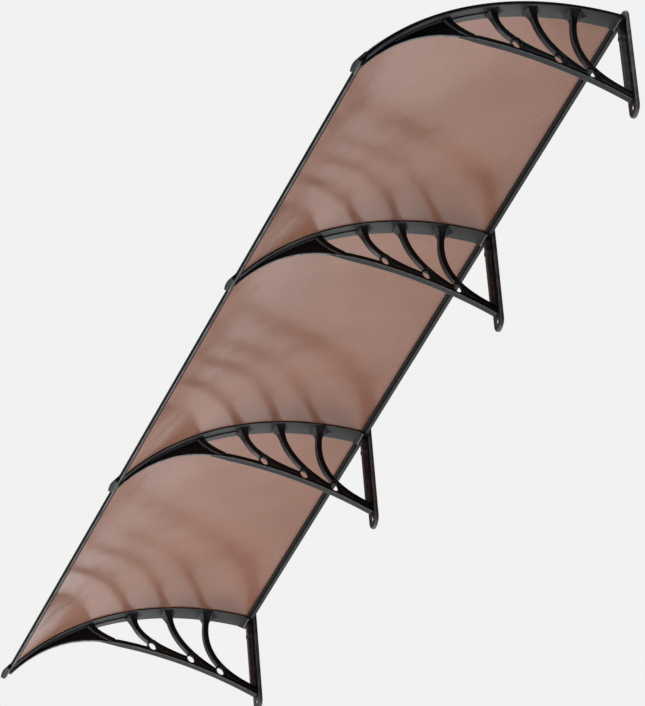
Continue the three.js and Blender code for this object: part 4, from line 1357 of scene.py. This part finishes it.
def black_plastic(name, finish):
    """Satin black moulding: fine grain, slow bloom, painted shade on marked faces and painted
    highlights on marked edges.
    """
    material, tree, shader = new_material(name)
    grain = grouped(tree, "mould_grain", Grain_Scale=1100.0, Patch_Scale=16.0)
    edge = grouped(tree, "rubbed_edge", Scale=45.0, Least=0.08, Most=0.25)
    body = mixed(tree, grain["Patches"], finish.plastic, finish.plastic_cloud)
    # Painted shade, then painted highlights, by the edge marks
    body = mixed(tree, edge["Deep"], body, finish.plastic_shade)
    inputs = {
        "Base Color": mixed(tree, edge["Mask"], body, finish.plastic_highlight),
        "Roughness": ranged(tree, grain["Patches"], 0.0, 1.0, 0.40, 0.50),
        "Specular IOR Level": 0.14,
        "Normal": bumped(tree, grain["Grain"], 0.15, 0.2 * MM),
    }
    feed(tree, shader, inputs)
    return material


def bronze_sheet(name, finish):
    """Tinted sheet: fine lines at an even pitch along its arc length, soft mottling and gloss."""
    material, tree, shader = new_material(name)
    uv = new_node(tree, "UVMap", uv_map="sheet_run").outputs["UV"]
    run = new_node(tree, "SeparateXYZ", {"Vector": uv}).outputs["Y"]
    phase = reckoned(tree, "MULTIPLY", run, 2.0 * np.pi / finish.line_pitch)
    lines = ranged(tree, reckoned(tree, "SINE", phase), -0.2, 0.2, 0.0, finish.line_strength)
    ripple = noise(tree, 11.0, 1.0, 0.4)
    clouds = ranged(tree, noise(tree, 3.2, 2.0, 0.45), 0.36, 0.64)
    body = mixed(tree, clouds, finish.sheet, finish.sheet_pale)
    inputs = {
        "Base Color": mixed(tree, lines, body, finish.sheet_line),
        "Roughness": ranged(tree, clouds, 0.0, 1.0, 0.20, 0.25),
        "IOR": 1.58,
        "Specular IOR Level": 0.6,
        "Normal": bumped(tree, ripple, 1.0, 1.8 * MM),
    }
    feed(tree, shader, inputs)
    return material


def dark_aluminium(name, finish):
    """Dark coated extrusion with drawing lines along its length, painted shade on marked faces and
    painted highlights on marked edges.
    """
    material, tree, shader = new_material(name)
    lines = grouped(tree, "drawn_lines", Scale=900.0)["Lines"]
    edge = grouped(tree, "rubbed_edge", Scale=25.0, Least=0.06, Most=0.16)
    body = mixed(tree, lines, finish.rail, finish.rail_streak)
    # Painted shade, then painted highlights, by the edge marks
    body = mixed(tree, edge["Deep"], body, finish.rail_shade)
    inputs = {
        "Base Color": mixed(tree, edge["Mask"], body, finish.rail_highlight),
        "Roughness": ranged(tree, lines, 0.0, 1.0, 0.36, 0.48),
        "Specular IOR Level": 0.04,
        "Normal": bumped(tree, lines, 0.1, 0.1 * MM),
    }
    feed(tree, shader, inputs)
    return material


def seal_rubber(name, finish):
    """Black rubber with fine grain, a chalky bloom and painted shade in the groove."""
    material, tree, shader = new_material(name)
    grain = grouped(tree, "mould_grain", Grain_Scale=1500.0, Patch_Scale=30.0)
    edge = grouped(tree, "rubbed_edge")
    body = mixed(tree, grain["Patches"], finish.seal, finish.seal_bloom)
    inputs = {
        # Painted shade in the groove
        "Base Color": mixed(tree, edge["Deep"], body, finish.groove_shade),
        "Roughness": ranged(tree, grain["Patches"], 0.0, 1.0, 0.55, 0.75),
        "Specular IOR Level": 0.02,
        "Normal": bumped(tree, grain["Grain"], 0.2, 0.2 * MM),
    }
    feed(tree, shader, inputs)
    return material


def screw_steel(name, finish):
    """Plain steel with fine turning marks and darker patches."""
    material, tree, shader = new_material(name)
    grain = grouped(tree, "mould_grain", Grain_Scale=2500.0, Patch_Scale=220.0)
    inputs = {
        "Base Color": mixed(tree, grain["Patches"], finish.steel, finish.steel_dark),
        "Roughness": ranged(tree, grain["Patches"], 0.0, 1.0, 0.24, 0.4),
        "Metallic": 1.0,
        "Normal": bumped(tree, grain["Grain"], 0.1, 0.1 * MM),
    }
    feed(tree, shader, inputs)
    return material


MATERIALS = {
    "black_plastic_moulding": black_plastic,
    "bronze_lined_sheet": bronze_sheet,
    "dark_drawn_aluminium": dark_aluminium,
    "black_seal_rubber": seal_rubber,
    "plain_screw_steel": screw_steel,
}


def finished(scene, name):
    """The material of that name, made the first time it is asked for."""
    return bpy.data.materials.get(name) or MATERIALS[name](name, scene.awning_finish)


# Pieces


def add_piece(name, shells, x, material, node):
    """Joins shells into one mesh at a place along the wall, ties it to the frame, and hides the
    node that it stands for, if there is one."""
    points = np.concatenate([shell.points for shell in shells]) + (x, 0.0, 0.0)
    starts = np.cumsum([0] + [len(shell.points) for shell in shells[:-1]])
    quads = np.concatenate([shell.quads + start for shell, start in zip(shells, starts)])
    caps = [(cap + start).tolist() for shell, start in zip(shells, starts) for cap in shell.caps]
    mesh = bpy.data.meshes.new(name)
    mesh.from_pydata(points.tolist(), [], quads.tolist() + caps)
    smooth = np.ones(len(quads) + len(caps), bool)
    smooth[len(quads) :] = False
    mesh.polygons.foreach_set("use_smooth", smooth)
    # The edge attribute carries the marks of painted highlight and painted shade
    edge = mesh.attributes.new("edge", "FLOAT", "POINT")
    marks = np.concatenate([shell.edge for shell in shells]).astype(np.float32)
    edge.data.foreach_set("value", marks)
    mesh.materials.append(material)
    mesh.update()
    piece = bpy.data.objects.new(name, mesh)
    bpy.context.scene.collection.objects.link(piece)
    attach(piece, "root")
    if node:
        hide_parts(node)
    return piece


def add_run_uv(piece, curve):
    """UV map of a sheet: u is x and v the arc length from the crown, both in metres."""
    mesh = piece.data
    points = np.empty(len(mesh.vertices) * 3, np.float32)
    mesh.vertices.foreach_get("co", points)
    points = points.reshape(-1, 3)
    angle = np.arctan2(-curve.crown - points[:, 1], points[:, 2] - curve.centre_z)
    run = np.stack([points[:, 0], angle * curve.radius], axis=1)
    corner = np.empty(len(mesh.loops), np.int32)
    mesh.loops.foreach_get("vertex_index", corner)
    layer = mesh.uv_layers.new(name="sheet_run")
    layer.uv.foreach_set("vector", run[corner].astype(np.float32).ravel())


def settings(context):
    """The scene, which holds the awning's property groups, and the sheets' curve."""
    scene = context.scene
    return scene, SheetCurve(scene.awning_curve)


def bracket_places(sizes):
    """Places of the brackets along the wall."""
    return (np.arange(sizes.bays + 1) - sizes.bays / 2.0) * sizes.spacing


def bay_places(sizes):
    """Middles of the bays along the wall."""
    return (np.arange(sizes.bays) - (sizes.bays - 1) / 2.0) * sizes.spacing


class AWNING_OT_brackets(bpy.types.Operator):
    """Build the moulded brackets"""

    bl_idname = "awning.brackets"
    bl_label = "Brackets"

    def execute(self, context):
        scene, curve = settings(context)
        form = BracketForm(curve, scene.awning_bracket, scene.awning_rails)
        shells = form.shells()
        material = finished(scene, "black_plastic_moulding")
        for i, x in enumerate(bracket_places(scene.awning_curve), 1):
            add_piece(f"bracket_moulding_{i}", shells, x, material, f"bracket_{i}")
        return {"FINISHED"}


class AWNING_OT_sheets(bpy.types.Operator):
    """Build the curved sheets"""

    bl_idname = "awning.sheets"
    bl_label = "Sheets"

    def execute(self, context):
        scene, curve = settings(context)
        shells = sheet_shells(curve, scene.awning_curve, scene.awning_bracket)
        material = finished(scene, "bronze_lined_sheet")
        for i, x in enumerate(bay_places(scene.awning_curve), 1):
            piece = add_piece(f"sheet_panel_{i}", shells, x, material, f"sheet_{i}")
            add_run_uv(piece, curve)
        return {"FINISHED"}


class AWNING_OT_rails(bpy.types.Operator):
    """Build the front rails and the wall rails"""

    bl_idname = "awning.rails"
    bl_label = "Rails"

    def execute(self, context):
        scene, curve = settings(context)
        sizes = scene.awning_curve
        front = front_rail_shells(curve, sizes, scene.awning_bracket, scene.awning_rails)
        wall = wall_rail_shells(curve, sizes, scene.awning_bracket, scene.awning_rails)
        material = finished(scene, "dark_drawn_aluminium")
        for i, x in enumerate(bay_places(sizes), 1):
            for side, shells in (("front", front), ("wall", wall)):
                node = f"{side}_rail_{i}"
                add_piece(f"{side}_extrusion_{i}", shells, x, material, node)
        return {"FINISHED"}


class AWNING_OT_seals(bpy.types.Operator):
    """Build the rubber seals of the wall rails"""

    bl_idname = "awning.seals"
    bl_label = "Seals"

    def execute(self, context):
        scene, curve = settings(context)
        sizes = scene.awning_curve
        shells = wall_seal_shells(curve, sizes, scene.awning_bracket, scene.awning_rails)
        material = finished(scene, "black_seal_rubber")
        for i, x in enumerate(bay_places(sizes), 1):
            add_piece(f"wall_seal_{i}", shells, x, material, None)
        return {"FINISHED"}


class AWNING_OT_strips(bpy.types.Operator):
    """Build the cover strips with their end caps"""

    bl_idname = "awning.strips"
    bl_label = "Cover strips"

    def execute(self, context):
        scene, curve = settings(context)
        bracket, rails = scene.awning_bracket, scene.awning_rails
        shells = strip_shells(curve, bracket, rails, scene.awning_strips)
        material = finished(scene, "black_plastic_moulding")
        for i, x in enumerate(bracket_places(scene.awning_curve), 1):
            node = f"cover_strip_{i}"
            add_piece(f"strip_moulding_{i}", shells, x, material, node)
        return {"FINISHED"}


class AWNING_OT_screws(bpy.types.Operator):
    """Build the screws of the cover strips"""

    bl_idname = "awning.screws"
    bl_label = "Screws"

    def execute(self, context):
        scene, curve = settings(context)
        strips = scene.awning_strips
        material = finished(scene, "plain_screw_steel")
        for k, angle in enumerate(screw_angles(curve, strips), 1):
            shells = [screw_shell(curve, strips, angle)]
            for i, x in enumerate(bracket_places(scene.awning_curve), 1):
                node = f"screw_{i}_{k}"
                add_piece(f"pan_screw_{i}_{k}", shells, x, material, node)
        return {"FINISHED"}


class AWNING_OT_stage(bpy.types.Operator):
    """Set up the camera, the lights, the floor and the background"""

    bl_idname = "awning.stage"
    bl_label = "Stage"

    def execute(self, context):
        scene = context.scene
        stage = scene.awning_stage
        add_camera(scene, stage)
        add_lamps(scene, stage)
        add_floor(scene, stage)
        add_flag(scene)
        add_softbox(scene, stage)
        set_world(scene, stage)
        scene.view_settings.view_transform = "Standard"
        return {"FINISHED"}


# Stage


def add_object(scene, name, data, **settings):
    """An object with its settings, put into the scene."""
    item = bpy.data.objects.new(name, data)
    for key, value in settings.items():
        setattr(item, key, value)
    scene.collection.objects.link(item)
    return item


def add_camera(scene, stage):
    """Camera that looks along (-sin a cos e, cos a cos e, -sin e), rolled about that line."""
    a, e, roll = stage.azimuth, stage.elevation, stage.roll
    ahead = Vector((-np.sin(a) * np.cos(e), np.cos(a) * np.cos(e), -np.sin(e)))
    level = Vector((np.cos(a), np.sin(a), 0.0))
    upright = level.cross(ahead)
    right = level * np.cos(roll) + upright * np.sin(roll)
    up = upright * np.cos(roll) - level * np.sin(roll)
    data = bpy.data.cameras.new("awning_camera")
    data.lens = stage.lens
    data.sensor_width = SENSOR_WIDTH
    turned = Matrix((right, up, -ahead)).transposed().to_4x4()
    turned.translation = Vector(stage.aim) - ahead * stage.distance
    scene.camera = add_object(scene, "awning_camera", data, matrix_world=turned)


def add_lamps(scene, stage):
    """Key from below and behind, a weaker lamp from below and in front, one from above, and a
    small one below the left end."""
    for name, (strength, toward, spread) in SUNS.items():
        data = bpy.data.lights.new(name, "SUN")
        data.energy = getattr(stage, strength)
        data.angle = np.radians(spread)
        turn = Vector(toward).to_track_quat("Z", "Y").to_euler()
        add_object(scene, name, data, rotation_euler=turn)
    data = bpy.data.lights.new("soft_left_end", "AREA")
    data.energy = stage.left
    data.size = LEFT_LAMP_SIZE
    upwards = (np.pi, 0.0, 0.0)
    place = {"location": LEFT_LAMP_PLACE, "rotation_euler": upwards}
    add_object(scene, "soft_left_end", data, visible_camera=False, visible_glossy=False, **place)


def square_mesh(name, corners, material):
    """One four-sided face."""
    mesh = bpy.data.meshes.new(name)
    mesh.from_pydata([tuple(corner) for corner in corners], [], [(0, 1, 2, 3)])
    mesh.materials.append(material)
    return mesh


def add_floor(scene, stage):
    """Pale floor, seen only from above, that takes the object's shadow."""
    material, tree, shader = new_material("pale_floor")
    tint = (*stage.floor_colour, 1.0)
    feed(tree, shader, {"Base Color": tint, "Roughness": 0.9, "Specular IOR Level": 0.0})
    clear = new_node(tree, "BsdfTransparent").outputs["BSDF"]
    below = new_node(tree, "NewGeometry").outputs["Backfacing"]
    mix = new_node(tree, "MixShader", {"Fac": below, 1: shader.outputs["BSDF"], 2: clear})
    output = next(node for node in tree.nodes if node.type == "OUTPUT_MATERIAL")
    feed(tree, output, {"Surface": mix.outputs["Shader"]})
    corners = [(u * FLOOR_HALF, v * FLOOR_HALF, -stage.floor_drop) for u, v in SQUARE]
    mesh = square_mesh("studio_floor", corners, material)
    unseen = dict.fromkeys(("visible_diffuse", "visible_shadow", "visible_glossy"), False)
    floor = add_object(scene, "studio_floor", mesh, **unseen)


def add_card(scene, name, toward, half, material):
    """Square card that faces the origin and that only reflections see."""
    centre = Vector(toward).normalized() * CARD_DISTANCE
    level = centre.cross(Vector((0.0, 0.0, 1.0))).normalized()
    upright = level.cross(centre.normalized())
    corners = [centre + level * u * half + upright * v * half for u, v in SQUARE]
    mesh = square_mesh(name, corners, material)
    rays = ("visible_camera", "visible_diffuse", "visible_transmission", "visible_shadow")
    card = add_object(scene, name, mesh, **dict.fromkeys(rays, False))


def add_flag(scene):
    """Dark card above the right end, which keeps side faces deep."""
    material, tree, shader = new_material("dark_card")
    feed(tree, shader, {"Base Color": (0.01, 0.01, 0.01, 1.0), "Specular IOR Level": 0.0})
    add_card(scene, "dark_flag", FLAG_TOWARD, FLAG_HALF, material)


def add_softbox(scene, stage):
    """Bright card below and in front, which lifts the struts' fronts."""
    material, tree, shader = new_material("softbox_cloth")
    inputs = {"Base Color": BLACK, "Emission Color": WHITE, "Emission Strength": stage.softbox}
    feed(tree, shader, inputs)
    add_card(scene, "softbox", SOFTBOX_TOWARD, SOFTBOX_HALF, material)


def set_world(scene, stage):
    """Pale background for the camera, reflections and clear sheets, and a weaker fill light."""
    world = bpy.data.worlds.new("studio")
    world.use_nodes = True
    tree = world.node_tree
    tree.nodes.clear()
    rays = new_node(tree, "LightPath").outputs
    seen = reckoned(tree, "MAXIMUM", rays["Is Camera Ray"], rays["Is Glossy Ray"])
    seen = reckoned(tree, "MAXIMUM", seen, rays["Is Transmission Ray"])
    inputs = {"Fac": seen}
    tints = (WHITE, stage.fill), ((*stage.background, 1.0), 1.0)
    for place, (tint, strength) in enumerate(tints, 1):
        light = new_node(tree, "Background", {"Color": tint, "Strength": strength})
        inputs[place] = light.outputs["Background"]
    mix = new_node(tree, "MixShader", inputs)
    new_node(tree, "OutputWorld", {"Surface": mix.outputs["Shader"]})
    scene.world = world


class AWNING_PT_panel(bpy.types.Panel):
    """Lists the awning's pieces and settings"""

    bl_label = "Awning"
    bl_idname = "AWNING_PT_panel"
    bl_space_type = "VIEW_3D"
    bl_region_type = "UI"
    bl_category = "Awning"

    def draw(self, context):
        layout = self.layout
        for operator in OPERATORS:
            layout.operator(operator.bl_idname)
        for label, group in PROPERTY_GROUPS.items():
            box = layout.box()
            box.label(text=group.__doc__)
            values = getattr(context.scene, label)
            for key in group.__annotations__:
                box.prop(values, key)


PROPERTY_GROUPS = {
    "awning_curve": AwningCurveSizes,
    "awning_bracket": AwningBracketSizes,
    "awning_rails": AwningRailSizes,
    "awning_strips": AwningStripSizes,
    "awning_finish": AwningFinish,
    "awning_stage": AwningStage,
}
OPERATORS = (
    AWNING_OT_stage,
    AWNING_OT_brackets,
    AWNING_OT_sheets,
    AWNING_OT_rails,
    AWNING_OT_seals,
    AWNING_OT_strips,
    AWNING_OT_screws,
)


def register():
    """Registers the property groups, the operators and the panel."""
    for label, group in PROPERTY_GROUPS.items():
        bpy.utils.register_class(group)
        setattr(bpy.types.Scene, label, PointerProperty(type=group))
    for item in (*OPERATORS, AWNING_PT_panel):
        bpy.utils.register_class(item)


def unregister():
    """Takes away what register added."""
    for item in (AWNING_PT_panel, *reversed(OPERATORS)):
        bpy.utils.unregister_class(item)
    for label, group in reversed(PROPERTY_GROUPS.items()):
        delattr(bpy.types.Scene, label)
        bpy.utils.unregister_class(group)


def main():
    """Builds the stage and every piece."""
    register()
    bpy.ops.awning.stage()
    bpy.ops.awning.brackets()
    bpy.ops.awning.sheets()
    bpy.ops.awning.rails()
    bpy.ops.awning.seals()
    bpy.ops.awning.strips()
    bpy.ops.awning.screws()


if __name__ == "__main__":
    main()
